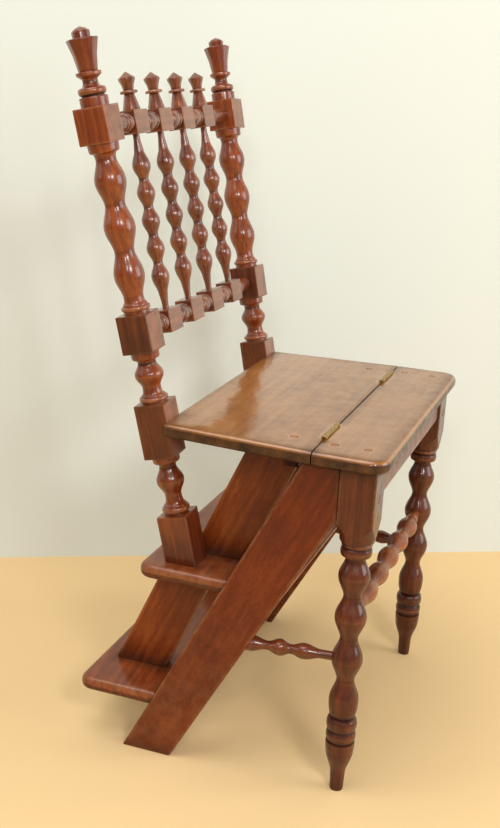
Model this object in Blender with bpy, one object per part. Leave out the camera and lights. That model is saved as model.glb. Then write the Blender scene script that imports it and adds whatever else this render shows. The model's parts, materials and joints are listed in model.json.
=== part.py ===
"""Library step chair: a turned side chair whose back and rear seat fold forward.

The rear seat board, the back and the two lower treads turn over together about
a hinge line in the seat. Turned over, the finials stand on the floor and the
treads become a flight of library steps.

Metres, +Z up, the chair faces +X and its left side is +Y. Points are written
in the chair frame, where x is zero on the hinge line and z is zero on the
floor. The two root empties then centre the whole chair on the origin.
"""

import math

import bmesh
import bpy
from mathutils import Euler, Matrix, Vector

# General fits and finishes
clearance = 0.0003
cut_overrun = 0.004
arris = 0.0012
octagon_start = math.pi / 8
smooth_angle = math.radians(38)
bead_steps = 2
bobbin_fullness_share = 0.70
corner_steps = 4

# Seat boards
seat_height = 0.455
board_thickness = 0.018
seat_front_reach = 0.090
seat_rear_reach = 0.1975
seat_half_width = 0.228
seat_rear_taper = 0.015
seat_side_overhang = 0.008
seat_corner_outside_post = 0.0048
seat_front_corner = 0.022
seat_rear_corner = 0.0095
board_edge_rounding = 0.0072
board_joint = 0.0016

# Butt hinges let into the facing edges of the seat boards
hinge_rise = 0.0012
hinge_inset = 0.083
hinge_length = 0.062
knuckle_count = 5
knuckle_gap = 0.0003
barrel_radius = 0.0035
hinge_pin_radius = 0.00125
leaf_thickness = 0.0012
leaf_depth = 0.014
barrel_sides = 8

# Outer strings, the fixed raking side boards
string_thickness = 0.020
string_foot_rear = 0.2343
string_foot_front = 0.1669
string_head_rear = 0.0123
string_throat_drop = 0.0663

# Front legs
leg_reach = 0.056
leg_block_side = 0.0445
leg_block_height = 0.0937
leg_shoulder_height = 0.025
leg_shoulder_turned_share = 0.97
leg_shoulder_middle_share = 0.60
leg_shoulder_corner_share = 1.13
string_over_leg = 0.00225
leg_sides = 12

# Front rail under the seat
front_rail_height = 0.040
front_rail_thickness = 0.020
front_rail_set_back = 0.003

# Stretchers
stretcher_radius = 0.0142
stretcher_end_radius = 0.0062
stretcher_spacing = 0.059
stretcher_bobbins = 5
stretcher_socket_depth = 0.011
stretcher_sides = 10
side_stretcher_radius = 0.0105
side_stretcher_end_radius = 0.0055
side_stretcher_string_inset = 0.011
side_stretcher_tenon_radius = 0.0042
side_stretcher_tenon_length = 0.012
side_stretcher_sides = 8

# Fixed tread between the outer strings
tread_thickness = 0.019
fixed_tread_height = 0.252
tread_pin_radius = 0.003
tread_pin_depth = 0.010
tread_pin_spacing = 0.0555
tread_pin_sides = 8

# Corner blocks inside the string heads
corner_block_length = 0.0435
corner_block_width = 0.0217
corner_block_height = 0.0417

# Treads that turn over with the back
tread_end_inset = 0.0005
tread_corner = 0.018
tread_edge_rounding = 0.008
tread_front_gap = 0.0005
mid_tread_height = 0.266
mid_tread_reach = 0.2215
low_tread_height = 0.086
low_tread_reach = 0.303

# Inner strings between the treads that turn over
inner_string_inset = 0.050
inner_string_width = 0.0714
upper_string_foot = 0.1727
lower_string_foot = 0.2782
inner_string_slope_share = 0.4403

# Cleat under the rear seat board
cleat_reach = 0.035
cleat_width = 0.020
cleat_depth = 0.017
cleat_end_gap = 0.008

# Wooden plugs over the screws
plug_radius = 0.005
plug_depth = 0.0055
plug_sides = 10
strip_plug_inset = 0.032
strip_plug_reaches = (0.0175, 0.058)
board_plug_inset = 0.010
leg_plug_drop = 0.037

# Back posts, measured along each post from the seat's top
post_set_back = 0.0145
post_rake = math.radians(12.6)
post_splay = math.radians(2.9)
post_side = 0.0404
post_sides = 12
octagon_sides = 8
seat_block_bottom = -0.0507
seat_block_height = 0.0703
lower_block_bottom = 0.0847
lower_block_height = 0.0476
upper_block_bottom = 0.3362
upper_block_height = 0.0423
foot_turning_length = 0.0776
turned_over_floor_gap = 0.0005
block_chamfer = 0.0010

# Rails of the back, squared over the spindles and turned between
rail_square_height = 0.029
rail_square_depth = 0.024
rail_square_width = 0.038
spindle_spacing = 0.0742
spindle_count = 4
rail_end_radius = 0.0095
rail_socket_depth = 0.010
rail_sides = 8

# Spindles and their finials
spindle_radius = 0.0105
spindle_sides = 8
spindle_tenon = 0.008
finial_height = 0.0461
finial_radius = 0.011
finial_dowel_radius = 0.0038
finial_dowel_length = 0.0045

# Turned profiles from the bottom up. Each row is a kind of line, the place it
# ends at as a share of the turning's length, and a radius as a share of the
# turning's full radius. A bead also has the share that its belly reaches.
leg_profile_shares = (
    ("line", 0.000, 0.36),
    ("line", 0.120, 0.55),
    ("line", 0.179, 0.85),
    ("bead", 0.214, 0.78, 0.88),
    ("line", 0.226, 0.74),
    ("bead", 0.256, 0.78, 0.87),
    ("line", 0.266, 0.76),
    ("bead", 0.300, 0.74, 0.87),
    ("wave", 0.313, 0.58),
    ("wave", 0.375, 0.84),
    ("wave", 0.458, 0.55),
    ("wave", 0.540, 0.85),
    ("wave", 0.622, 0.55),
    ("wave", 0.706, 0.86),
    ("wave", 0.787, 0.56),
    ("wave", 0.867, 0.85),
    ("wave", 0.940, 0.61),
    ("bead", 0.968, 0.76, 0.87),
    ("bead", 1.000, 0.74, 0.84),
)
front_stretcher_leg_share = 0.706
side_stretcher_leg_share = 0.540

post_foot_shares = (
    ("line", 0.00, 0.78),
    ("bead", 0.19, 0.74, 0.89),
    ("wave", 0.26, 0.59),
    ("wave", 0.54, 0.89),
    ("wave", 0.84, 0.53),
    ("bead", 1.00, 0.74, 0.86),
)
post_waist_shares = (
    ("line", 0.00, 0.78),
    ("bead", 0.17, 0.74, 0.90),
    ("wave", 0.24, 0.58),
    ("wave", 0.50, 0.91),
    ("wave", 0.79, 0.56),
    ("bead", 1.00, 0.74, 0.86),
)
post_back_shares = (
    ("line", 0.000, 0.80),
    ("line", 0.033, 0.79),
    ("bead", 0.080, 0.72, 0.84),
    ("wave", 0.106, 0.63),
    ("wave", 0.233, 0.95),
    ("wave", 0.374, 0.55),
    ("wave", 0.515, 0.96),
    ("wave", 0.651, 0.57),
    ("wave", 0.783, 0.95),
    ("wave", 0.928, 0.59),
    ("bead", 1.000, 0.84, 0.92),
)
post_finial_shares = (
    ("line", 0.000, 0.80),
    ("line", 0.050, 0.80),
    ("bead", 0.145, 0.82, 0.90),
    ("line", 0.167, 0.72),
    ("bead", 0.285, 0.70, 0.83),
    ("wave", 0.360, 0.47),
    ("bead", 0.445, 0.52, 0.77),
    ("line", 0.475, 0.35),
)
post_cup_shares = (
    ("line", 0.425, 0.50),
    ("line", 0.460, 0.59),
    ("line", 0.838, 0.94),
    ("line", 0.850, 0.90),
    ("line", 0.852, 0.56),
    ("line", 0.908, 0.57),
    ("line", 0.955, 0.45),
    ("line", 0.984, 0.24),
    ("line", 1.000, 0.00),
)

rail_barrel_shares = (
    ("line", 0.00, 0.95),
    ("line", 0.09, 0.95),
    ("line", 0.15, 0.80),
    ("bead", 0.85, 0.84, 1.05),
    ("line", 0.91, 0.95),
    ("line", 1.00, 0.95),
)
rail_end_shares = (
    ("line", 0.00, 0.95),
    ("line", 0.08, 0.95),
    ("bead", 0.30, 0.80, 1.00),
)

stretcher_neck_share = 0.62
side_stretcher_shares = (
    ("line", 0.00, 0.80),
    ("wave", 0.22, 0.48),
    ("wave", 0.38, 1.00),
    ("wave", 0.52, 0.55),
    ("wave", 0.68, 0.95),
    ("wave", 0.90, 0.52),
)

spindle_shares = (
    ("line", 0.000, 0.34),
    ("wave", 0.189, 1.00),
    ("wave", 0.269, 0.57),
    ("wave", 0.349, 1.00),
    ("wave", 0.429, 0.57),
    ("wave", 0.509, 1.00),
    ("wave", 0.589, 0.57),
    ("wave", 0.669, 1.00),
    ("wave", 0.747, 0.57),
    ("wave", 0.824, 1.00),
    ("wave", 0.935, 0.50),
    ("line", 1.000, 0.36),
)
finial_base_shares = (
    ("line", 0.000, 1.00),
    ("line", 0.430, 0.55),
)
finial_disc_shares = (
    ("line", 0.440, 0.58),
    ("bead", 0.490, 0.88, 0.95),
    ("line", 0.498, 0.55),
)
finial_cup_shares = (
    ("line", 0.510, 0.55),
    ("line", 0.824, 0.92),
    ("line", 0.835, 0.86),
    ("line", 0.915, 0.52),
    ("line", 1.000, 0.00),
)

# Colours as linear red, green and blue, with roughness and metallic value
turned_wood = ((0.150, 0.030, 0.010), 0.28, 0.0)
string_wood = ((0.190, 0.045, 0.016), 0.38, 0.0)
seat_wood = ((0.300, 0.095, 0.030), 0.26, 0.0)
hidden_wood = ((0.260, 0.130, 0.060), 0.65, 0.0)
plug_wood = ((0.100, 0.024, 0.010), 0.40, 0.0)
brass = ((0.560, 0.390, 0.140), 0.35, 1.0)

# Heights and places that follow from the sizes above
hinge_height = seat_height + hinge_rise
seat_underside = seat_height - board_thickness
support_height = seat_underside - clearance
string_throat_height = support_height - string_throat_drop
leg_turned_height = support_height - leg_block_height
seat_rear_half_width = seat_half_width - seat_rear_taper
outer_string_face = seat_half_width - seat_side_overhang
hinge_place = seat_half_width - hinge_inset
leg_spread = outer_string_face - string_over_leg - leg_block_side / 2
side_stretcher_string_place = outer_string_face - side_stretcher_string_inset
tread_half_length = outer_string_face - tread_end_inset
post_reach = seat_rear_reach + post_set_back
post_spread = seat_rear_half_width - seat_corner_outside_post - post_side / 2
strip_plug_spread = outer_string_face - strip_plug_inset
leg_rear_face = leg_reach - leg_block_side / 2
leg_front_face = leg_reach + leg_block_side / 2
string_front_end = leg_rear_face - clearance
outer_string_inner_face = outer_string_face - string_thickness
inner_string_face = outer_string_inner_face - inner_string_inset
cleat_half_length = outer_string_inner_face - cleat_end_gap
board_plug_spread = cleat_half_length - board_plug_inset
leaf_top = hinge_height - barrel_radius - 2 * clearance


def bore_radius(shaft_radius, sides):
    """Radius of a bore with flat sides that clears a round shaft all round."""
    return (shaft_radius + clearance) / math.cos(math.pi / sides)


def string_rear_edge(height):
    """Where the outer strings' rear edge is at a height."""
    rise_share = height / support_height
    run = string_foot_rear - string_head_rear
    return run * rise_share - string_foot_rear


def string_front_edge(height):
    """Where the outer strings' front edge is at a height below the throat."""
    rise_share = height / string_throat_height
    return (string_foot_front + string_front_end) * rise_share - string_foot_front


def back_point(up, across, forward=0.0):
    """A point of the raked back: up the back from the seat, across and forward."""
    return Vector((
        -post_reach - up * math.sin(post_rake) + forward * math.cos(post_rake),
        across,
        seat_height + up * math.cos(post_rake) + forward * math.sin(post_rake),
    ))


def post_inner_face(up):
    """How far from the middle a post's inner face is, up the back."""
    along = up / math.cos(post_splay)
    axis = post_spread + along * math.sin(post_splay)
    return axis - post_side / 2 / math.cos(post_splay)


# Scene helpers
def clear_scene():
    """Remove what the scene holds."""
    for old in list(bpy.data.objects):
        bpy.data.objects.remove(old)


def add_root(name, location):
    """An empty that carries one body of the chair."""
    root = bpy.data.objects.new(name, None)
    root.empty_display_size = barrel_radius
    root.location = location
    bpy.context.scene.collection.objects.link(root)
    return root


def add_material(name, finish):
    """A Principled material of a colour, a roughness and a metallic value."""
    colour, roughness, metallic = finish
    material = bpy.data.materials.new(name)
    material.use_nodes = True
    shader = material.node_tree.nodes["Principled BSDF"]
    shader.inputs["Base Color"].default_value = (*colour, 1.0)
    shader.inputs["Roughness"].default_value = roughness
    shader.inputs["Metallic"].default_value = metallic
    material.diffuse_color = (*colour, 1.0)
    return material


def add_object(name, bm, place, root, turn=(0.0, 0.0, 0.0)):
    """Turn a bmesh into an object at a place in the chair frame."""
    bmesh.ops.recalc_face_normals(bm, faces=bm.faces)
    mesh = bpy.data.meshes.new(name)
    bm.to_mesh(mesh)
    bm.free()
    obj = bpy.data.objects.new(name, mesh)
    bpy.context.scene.collection.objects.link(obj)
    obj.parent = root
    obj.location = Vector(place) - Vector((0.0, 0.0, root["height"]))
    obj.rotation_euler = turn
    return obj


def add_piece(name, bm, place, root, finish, turn=(0.0, 0.0, 0.0), smooth=False):
    """A piece of the chair, with its own material."""
    obj = add_object(name, bm, place, root, turn)
    obj.data.materials.append(add_material(name + "_finish", finish))
    if smooth:
        obj.data.shade_smooth()
        obj.data.set_sharp_from_angle(angle=smooth_angle)
    return obj


def add_cutter(name, bm, place, root, turn=(0.0, 0.0, 0.0)):
    """A helper that is never seen."""
    obj = add_object(name, bm, place, root, turn)
    obj.hide_render = True
    obj.display_type = "WIRE"
    return obj


def ease_arrises(obj, width=arris):
    """Take the sharpness off a sawn board's edges."""
    modifier = obj.modifiers.new("Arrises", "BEVEL")
    modifier.width = width
    modifier.segments = 1
    modifier.limit_method = "ANGLE"
    modifier.angle_limit = smooth_angle


def cut(obj, cutter):
    """Take the cutter out of the object."""
    modifier = obj.modifiers.new("Cut " + cutter.name, "BOOLEAN")
    modifier.operation = "DIFFERENCE"
    modifier.solver = "EXACT"
    modifier.object = cutter


def join(obj, helper):
    """Add the helper to the object as one body."""
    modifier = obj.modifiers.new("Join " + helper.name, "BOOLEAN")
    modifier.operation = "UNION"
    modifier.solver = "EXACT"
    modifier.object = helper


# Shapes
def box_mesh(low, high):
    """A box between two corners."""
    bm = bmesh.new()
    bmesh.ops.create_cube(bm, size=1.0)
    size = Vector(high) - Vector(low)
    middle = (Vector(high) + Vector(low)) / 2
    bmesh.ops.scale(bm, vec=size, verts=bm.verts)
    bmesh.ops.translate(bm, vec=middle, verts=bm.verts)
    return bm


def rod(bm, start, end, radius, sides):
    """Add a straight rod between two points."""
    start = Vector(start)
    run = Vector(end) - start
    turn = run.to_track_quat("Z", "Y").to_matrix().to_4x4()
    centre = Matrix.Translation(start + run / 2)
    bmesh.ops.create_cone(
        bm,
        cap_ends=True,
        segments=sides,
        radius1=radius,
        radius2=radius,
        depth=run.length,
        matrix=centre @ turn,
    )


def extruded(points, sweep):
    """A flat outline pushed along a sweep."""
    bm = bmesh.new()
    face = bm.faces.new([bm.verts.new(point) for point in points])
    pushed = bmesh.ops.extrude_face_region(bm, geom=[face])
    moved = [item for item in pushed["geom"] if isinstance(item, bmesh.types.BMVert)]
    bmesh.ops.translate(bm, vec=sweep, verts=moved)
    return bm


def trim(bm, point, normal):
    """Saw off what lies beyond a plane and close the sawn face."""
    everything = list(bm.verts) + list(bm.edges) + list(bm.faces)
    bmesh.ops.bisect_plane(
        bm,
        geom=everything,
        plane_co=point,
        plane_no=normal,
        clear_outer=True,
    )
    rim = [edge for edge in bm.edges if edge.is_boundary]
    bmesh.ops.edgeloop_fill(bm, edges=rim)


def rounded_corner(before, corner, after, radius, steps):
    """Points of an arc that rounds a corner of a plan outline."""
    if radius == 0.0:
        return [corner]
    towards_before = (before - corner).normalized()
    towards_after = (after - corner).normalized()
    half_angle = towards_before.angle(towards_after) / 2
    middle = (towards_before + towards_after).normalized()
    centre = corner + middle * (radius / math.sin(half_angle))
    start = corner + towards_before * (radius / math.tan(half_angle)) - centre
    sweep = math.pi - 2 * half_angle
    points = []
    for step in range(steps + 1):
        part = step / steps
        angle = sweep * part
        points.append(centre + Matrix.Rotation(angle, 2) @ start)
    return points


def moulded_board(corners, radii, low, thickness, rounding):
    """A board of a plan outline, its edges rounded above and below."""
    plan = []
    count = len(corners)
    for index in range(count):
        before = Vector(corners[index - 1])
        corner = Vector(corners[index])
        after = Vector(corners[(index + 1) % count])
        plan += rounded_corner(before, corner, after, radii[index], corner_steps)
    bm = extruded([(point.x, point.y, low) for point in plan], (0.0, 0.0, thickness))
    flat = [edge for edge in bm.edges if edge.verts[0].co.z == edge.verts[1].co.z]
    bmesh.ops.bevel(
        bm,
        geom=flat,
        offset=rounding,
        offset_type="OFFSET",
        segments=3,
        profile=0.5,
        affect="EDGES",
        material=-1,
    )
    return bm


def follow_profile(rows, start, length, radius):
    """Turn rows of shares into places and radii along a turning."""
    line = []
    for kind, place_share, radius_share, *belly in rows:
        place = start + place_share * length
        size = radius_share * radius
        if kind == "line":
            line.append((place, size))
            continue
        last_place, last_size = line[-1]
        if kind == "wave":
            thin = min(size, last_size)
            thick = max(size, last_size)
            middle_size = thin + (thick - thin) * bobbin_fullness_share
            line.append(((last_place + place) / 2, middle_size))
            line.append((place, size))
            continue
        bulge = belly[0] * radius - size
        for step in range(bead_steps + 1):
            angle = math.pi * step / bead_steps
            middle = (last_place + place) / 2
            half = (place - last_place) / 2
            line.append((
                middle - half * math.cos(angle),
                size + bulge * math.sin(angle),
            ))
    return [(place, (size, size), "round") for place, size in without_repeats(line)]


def without_repeats(line):
    """Drop points of a turned line that fall on the one before."""
    kept = []
    for place, size in line:
        if kept:
            step = abs(place - kept[-1][0]) + abs(size - kept[-1][1])
            if step < clearance / 2:
                kept.pop()
        kept.append((place, size))
    return kept


def squared(low, high, size, chamfer=0.0):
    """Sections of a squared block."""
    rows = []
    if chamfer:
        rows.append((low, (size[0] - chamfer, size[1] - chamfer), "square"))
    rows.append((low + chamfer, size, "square"))
    rows.append((high - chamfer, size, "square"))
    if chamfer:
        rows.append((high, (size[0] - chamfer, size[1] - chamfer), "square"))
    return rows


def section_reach(form, angle):
    """How far a unit section reaches in a direction."""
    if form == "square":
        return 1 / max(abs(math.cos(angle)), abs(math.sin(angle)))
    if form == "eased square":
        return min(section_reach("square", angle), leg_shoulder_corner_share)
    return 1.0


def turning(sections, sides, start=math.pi / 4):
    """Loft round and square sections along Z into one closed body."""
    bm = bmesh.new()
    rings = []
    for place, size, form in sections:
        if max(size) == 0.0:
            rings.append([bm.verts.new((0.0, 0.0, place))])
            continue
        ring = []
        for index in range(sides):
            angle = start + 2 * math.pi * index / sides
            reach = section_reach(form, angle)
            ring.append(bm.verts.new((
                size[0] * reach * math.cos(angle),
                size[1] * reach * math.sin(angle),
                place,
            )))
        rings.append(ring)
    for lower, upper in zip(rings, rings[1:]):
        for index in range(sides):
            following = (index + 1) % sides
            if len(upper) == 1:
                bm.faces.new((lower[index], lower[following], upper[0]))
                continue
            bm.faces.new((lower[index], lower[following], upper[following], upper[index]))
    for ring in (rings[0], rings[-1]):
        if len(ring) > 1:
            bm.faces.new(ring)
    return bm


def side_board(outline, inner, outer):
    """A board whose side outline is given in x and z, between two y places."""
    points = [(x, inner, z) for x, z in outline]
    return extruded(points, (0.0, outer - inner, 0.0))


# Fixed stand
def add_front_leg(root, side, word):
    """Turned front leg with its square block, and the plug in its front face."""
    half = leg_block_side / 2
    rows = follow_profile(leg_profile_shares, 0.0, leg_turned_height, half)
    turned = half * leg_shoulder_turned_share
    rows.append((leg_turned_height, (turned, turned), "round"))
    shoulder = leg_shoulder_height * leg_shoulder_middle_share
    rows.append((leg_turned_height + shoulder, (half, half), "eased square"))
    rows += squared(leg_turned_height + leg_shoulder_height, support_height, (half, half))
    place = (leg_reach, side * leg_spread, 0.0)
    leg = add_piece(
        "front_leg_" + word,
        turning(rows, leg_sides),
        place,
        root,
        turned_wood,
        smooth=True,
    )
    plug_height = support_height - leg_plug_drop
    centre = Vector((leg_front_face, side * leg_spread, plug_height))
    inward = Vector((-plug_depth, 0.0, 0.0))
    cut(leg, add_bore("leg_plug_bore_" + word, centre, inward, plug_radius, plug_sides, root))
    add_plug("leg_plug_" + word, centre, inward, root)
    return leg


def add_bore(name, mouth, inward, shaft_radius, sides, root):
    """Cutter of a blind hole for a round shaft, run past its mouth."""
    bm = bmesh.new()
    mouth = Vector(mouth)
    direction = Vector(inward).normalized()
    bottom = mouth + Vector(inward) + direction * clearance
    start = mouth - direction * cut_overrun
    rod(bm, start, bottom, bore_radius(shaft_radius, sides), sides)
    return add_cutter(name, bm, (0.0, 0.0, 0.0), root)


def add_plug(name, mouth, inward, root, radius=plug_radius, sides=plug_sides):
    """A round wooden plug, flush with the face it is let into."""
    bm = bmesh.new()
    inward = Vector(inward)
    rod(bm, inward * 0.0, inward, radius, sides)
    return add_piece(name, bm, mouth, root, plug_wood, smooth=True)


def add_outer_string(root, side, word):
    """Raking side board from the floor to the seat."""
    outline = (
        (-string_foot_rear, 0.0),
        (-string_foot_front, 0.0),
        (string_front_end, string_throat_height),
        (string_front_end, support_height),
        (-string_head_rear, support_height),
    )
    bm = side_board(outline, side * outer_string_inner_face, side * outer_string_face)
    string = add_piece("outer_string_" + word, bm, (0.0, 0.0, 0.0), root, string_wood)
    ease_arrises(string)
    return string


def add_fixed_tread(root):
    """First step, between the outer strings."""
    low = fixed_tread_height - tread_thickness
    outline = (
        (string_rear_edge(low), low),
        (string_front_edge(low), low),
        (string_front_edge(fixed_tread_height), fixed_tread_height),
        (string_rear_edge(fixed_tread_height), fixed_tread_height),
    )
    reach = outer_string_inner_face - clearance
    tread = add_piece(
        "fixed_tread",
        side_board(outline, -reach, reach),
        (0.0, 0.0, 0.0),
        root,
        string_wood,
    )
    ease_arrises(tread)
    return tread


def add_tread_pins(root, side, word, string, tread):
    """Two pins through a string into the end of the fixed tread."""
    height = fixed_tread_height - tread_thickness / 2
    middle = (string_rear_edge(height) + string_front_edge(height)) / 2
    inward = Vector((0.0, -side * (string_thickness + tread_pin_depth), 0.0))
    for number, shift in enumerate((-tread_pin_spacing / 2, tread_pin_spacing / 2)):
        name = "tread_pin_%s_%d" % (word, number + 1)
        mouth = Vector((middle + shift, side * outer_string_face, height))
        bore = add_bore(name + "_bore", mouth, inward, tread_pin_radius, tread_pin_sides, root)
        cut(string, bore)
        cut(tread, bore)
        add_plug(name, mouth, inward, root, tread_pin_radius, tread_pin_sides)


def add_front_rail(root):
    """Shallow rail between the leg blocks, under the front of the seat."""
    reach = leg_spread - leg_block_side / 2 - clearance
    front = leg_front_face - front_rail_set_back
    low = (front - front_rail_thickness, -reach, support_height - front_rail_height)
    high = (front, reach, support_height)
    rail = add_piece("front_rail", box_mesh(low, high), (0.0, 0.0, 0.0), root, string_wood)
    ease_arrises(rail)


def add_corner_block(root, side, word):
    """Glued block inside a string's head, which takes the strip's screws."""
    outer = outer_string_inner_face - clearance
    inner = outer - corner_block_width
    rear = string_front_end - corner_block_length
    outline = (
        (rear, support_height - corner_block_height),
        (string_front_end, support_height - corner_block_height),
        (string_front_end, support_height),
        (rear, support_height),
    )
    bm = side_board(outline, side * inner, side * outer)
    block = add_piece("corner_block_" + word, bm, (0.0, 0.0, 0.0), root, hidden_wood)
    ease_arrises(block)


def add_front_stretcher(root, legs):
    """Bobbin-turned stretcher between the front legs."""
    height = front_stretcher_leg_share * leg_turned_height
    leg_surface = leg_spread - leg_block_side / 2
    tip = leg_surface + stretcher_socket_depth
    first = stretcher_spacing * (stretcher_bobbins - 1) / 2
    neck_radius = stretcher_radius * stretcher_neck_share
    taper_place = first + stretcher_spacing / 2
    keys = [(-tip, stretcher_end_radius), (-leg_surface, stretcher_end_radius)]
    keys.append((-taper_place, neck_radius))
    for index in range(stretcher_bobbins):
        centre = index * stretcher_spacing - first
        keys.append((centre, stretcher_radius))
        keys.append((centre + stretcher_spacing / 2, neck_radius))
    keys += [(leg_surface, stretcher_end_radius), (tip, stretcher_end_radius)]
    rows = follow_profile(
        [("line" if index < 2 else "wave", place, size) for index, (place, size) in enumerate(keys)],
        0.0,
        1.0,
        1.0,
    )
    add_piece(
        "front_stretcher",
        turning(rows, stretcher_sides),
        (leg_reach, 0.0, height),
        root,
        turned_wood,
        turn=(math.radians(-90), 0.0, 0.0),
        smooth=True,
    )
    for side, leg in legs.items():
        mouth = Vector((leg_reach, side * leg_surface, height))
        inward = Vector((0.0, side * stretcher_socket_depth, 0.0))
        bore = add_bore(
            leg.name + "_front_socket",
            mouth,
            inward,
            stretcher_end_radius,
            stretcher_sides,
            root,
        )
        cut(leg, bore)


def add_side_stretcher(root, side, word, leg, string):
    """Short turned stretcher from an outer string's front edge to a leg."""
    height = side_stretcher_leg_share * leg_turned_height
    start = Vector((string_front_edge(height), side * side_stretcher_string_place, height))
    end = Vector((leg_reach, side * leg_spread, height))
    run = end - start
    direction = run.normalized()
    leg_surface = run.length - leg_block_side / 2
    tip = leg_surface + stretcher_socket_depth
    radius = side_stretcher_radius
    rows = follow_profile(side_stretcher_shares, 0.0, leg_surface, radius)
    rows.insert(0, (-radius, rows[0][1], "round"))
    end_size = (side_stretcher_end_radius, side_stretcher_end_radius)
    rows.append((leg_surface, end_size, "round"))
    rows.append((tip, end_size, "round"))
    turn = direction.to_track_quat("Z", "Y")
    bm = turning(rows, side_stretcher_sides)
    edge_slope = math.atan2(string_foot_front + string_front_end, string_throat_height)
    edge_normal = Vector((-math.cos(edge_slope), 0.0, math.sin(edge_slope)))
    local_normal = turn.inverted() @ edge_normal
    trim(bm, local_normal * -clearance, local_normal)
    tenon = bmesh.new()
    tenon_start = direction * -side_stretcher_tenon_length
    rod(
        tenon,
        tenon_start,
        direction * side_stretcher_radius,
        side_stretcher_tenon_radius,
        side_stretcher_sides,
    )
    stretcher = add_piece(
        "side_stretcher_" + word,
        bm,
        start,
        root,
        turned_wood,
        turn=turn.to_euler(),
        smooth=True,
    )
    join(stretcher, add_cutter("side_stretcher_tenon_" + word, tenon, start, root))
    string_bore = add_bore(
        "side_stretcher_string_bore_" + word,
        start,
        tenon_start,
        side_stretcher_tenon_radius,
        side_stretcher_sides,
        root,
    )
    cut(string, string_bore)
    leg_bore = add_bore(
        "side_stretcher_leg_bore_" + word,
        start + direction * leg_surface,
        direction * stretcher_socket_depth,
        side_stretcher_end_radius,
        side_stretcher_sides,
        root,
    )
    cut(leg, leg_bore)


# Seat boards and hinges
def hinge_recess(name, facing, root):
    """Cutter for both hinges: the barrel's groove and the leaf's housing."""
    half = hinge_length / 2 + clearance
    bm = bmesh.new()
    for place in (-hinge_place, hinge_place):
        rod(
            bm,
            (0.0, place - half, hinge_height),
            (0.0, place + half, hinge_height),
            bore_radius(barrel_radius, barrel_sides),
            barrel_sides,
        )
    groove = add_cutter(name + "_groove", bm, (0.0, 0.0, 0.0), root)
    housing = bmesh.new()
    inner = board_joint / 2 + leaf_thickness + clearance
    bottom = leaf_top - leaf_depth - clearance
    for place in (-hinge_place, hinge_place):
        outline = (
            (0.0, bottom),
            (facing * inner, bottom),
            (facing * inner, hinge_height),
            (0.0, hinge_height),
        )
        block = side_board(outline, place - half, place + half)
        add_bmesh(housing, block)
    bmesh.ops.recalc_face_normals(housing, faces=housing.faces)
    pocket = add_cutter(name + "_housing", housing, (0.0, 0.0, 0.0), root)
    return groove, pocket


def add_bmesh(target, source):
    """Copy one bmesh into another."""
    mesh = bpy.data.meshes.new("carrier")
    source.to_mesh(mesh)
    source.free()
    target.from_mesh(mesh)
    bpy.data.meshes.remove(mesh)


def screw_bores(name, places, root):
    """Cutter for the plugs' holes in the top of a seat board."""
    bm = bmesh.new()
    radius = bore_radius(plug_radius, plug_sides)
    for x, y in places:
        top = (x, y, seat_height + cut_overrun)
        bottom = (x, y, seat_height - plug_depth - clearance)
        rod(bm, top, bottom, radius, plug_sides)
    return add_cutter(name, bm, (0.0, 0.0, 0.0), root)


def add_front_strip(root):
    """Fixed front part of the seat."""
    joint = board_joint / 2
    corners = (
        (-cut_overrun, -seat_half_width),
        (seat_front_reach, -seat_half_width),
        (seat_front_reach, seat_half_width),
        (-cut_overrun, seat_half_width),
    )
    radii = (0.0, seat_front_corner, seat_front_corner, 0.0)
    bm = moulded_board(corners, radii, seat_underside, board_thickness, board_edge_rounding)
    trim(bm, (joint, 0.0, 0.0), (-1.0, 0.0, 0.0))
    strip = add_piece("front_seat_strip", bm, (0.0, 0.0, 0.0), root, seat_wood, smooth=True)
    for cutter in hinge_recess("strip_hinge", 1, root):
        cut(strip, cutter)
    places = []
    for y in (-strip_plug_spread, strip_plug_spread):
        for x in strip_plug_reaches:
            places.append((x, y))
    cut(strip, screw_bores("strip_plug_bores", places, root))
    inward = Vector((0.0, 0.0, -plug_depth))
    for number, (x, y) in enumerate(places):
        add_plug("strip_plug_%d" % (number + 1), (x, y, seat_height), inward, root)


def add_rear_board(root):
    """Rear part of the seat, notched round the back posts."""
    joint = board_joint / 2
    corners = (
        (cut_overrun, seat_half_width),
        (-seat_rear_reach, seat_rear_half_width),
        (-seat_rear_reach, -seat_rear_half_width),
        (cut_overrun, -seat_half_width),
    )
    radii = (0.0, seat_rear_corner, seat_rear_corner, 0.0)
    bm = moulded_board(corners, radii, seat_underside, board_thickness, board_edge_rounding)
    trim(bm, (-joint, 0.0, 0.0), (1.0, 0.0, 0.0))
    board = add_piece("rear_seat_board", bm, (0.0, 0.0, 0.0), root, seat_wood, smooth=True)
    for cutter in hinge_recess("board_hinge", -1, root):
        cut(board, cutter)
    reach = post_side / 2 + clearance
    for side, word in ((1, "left"), (-1, "right")):
        low = (-reach, -reach, seat_block_bottom)
        high = (reach, reach, seat_block_bottom + seat_block_height)
        notch = add_cutter(
            "rear_board_notch_" + word,
            box_mesh(low, high),
            post_origin(side),
            root,
            turn=post_turn(side),
        )
        cut(board, notch)
    places = [(-cleat_reach, board_plug_spread), (-cleat_reach, -board_plug_spread)]
    cut(board, screw_bores("board_plug_bores", places, root))
    inward = Vector((0.0, 0.0, -plug_depth))
    for (x, y), word in zip(places, ("left", "right")):
        add_plug("board_plug_" + word, (x, y, seat_height), inward, root)


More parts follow.
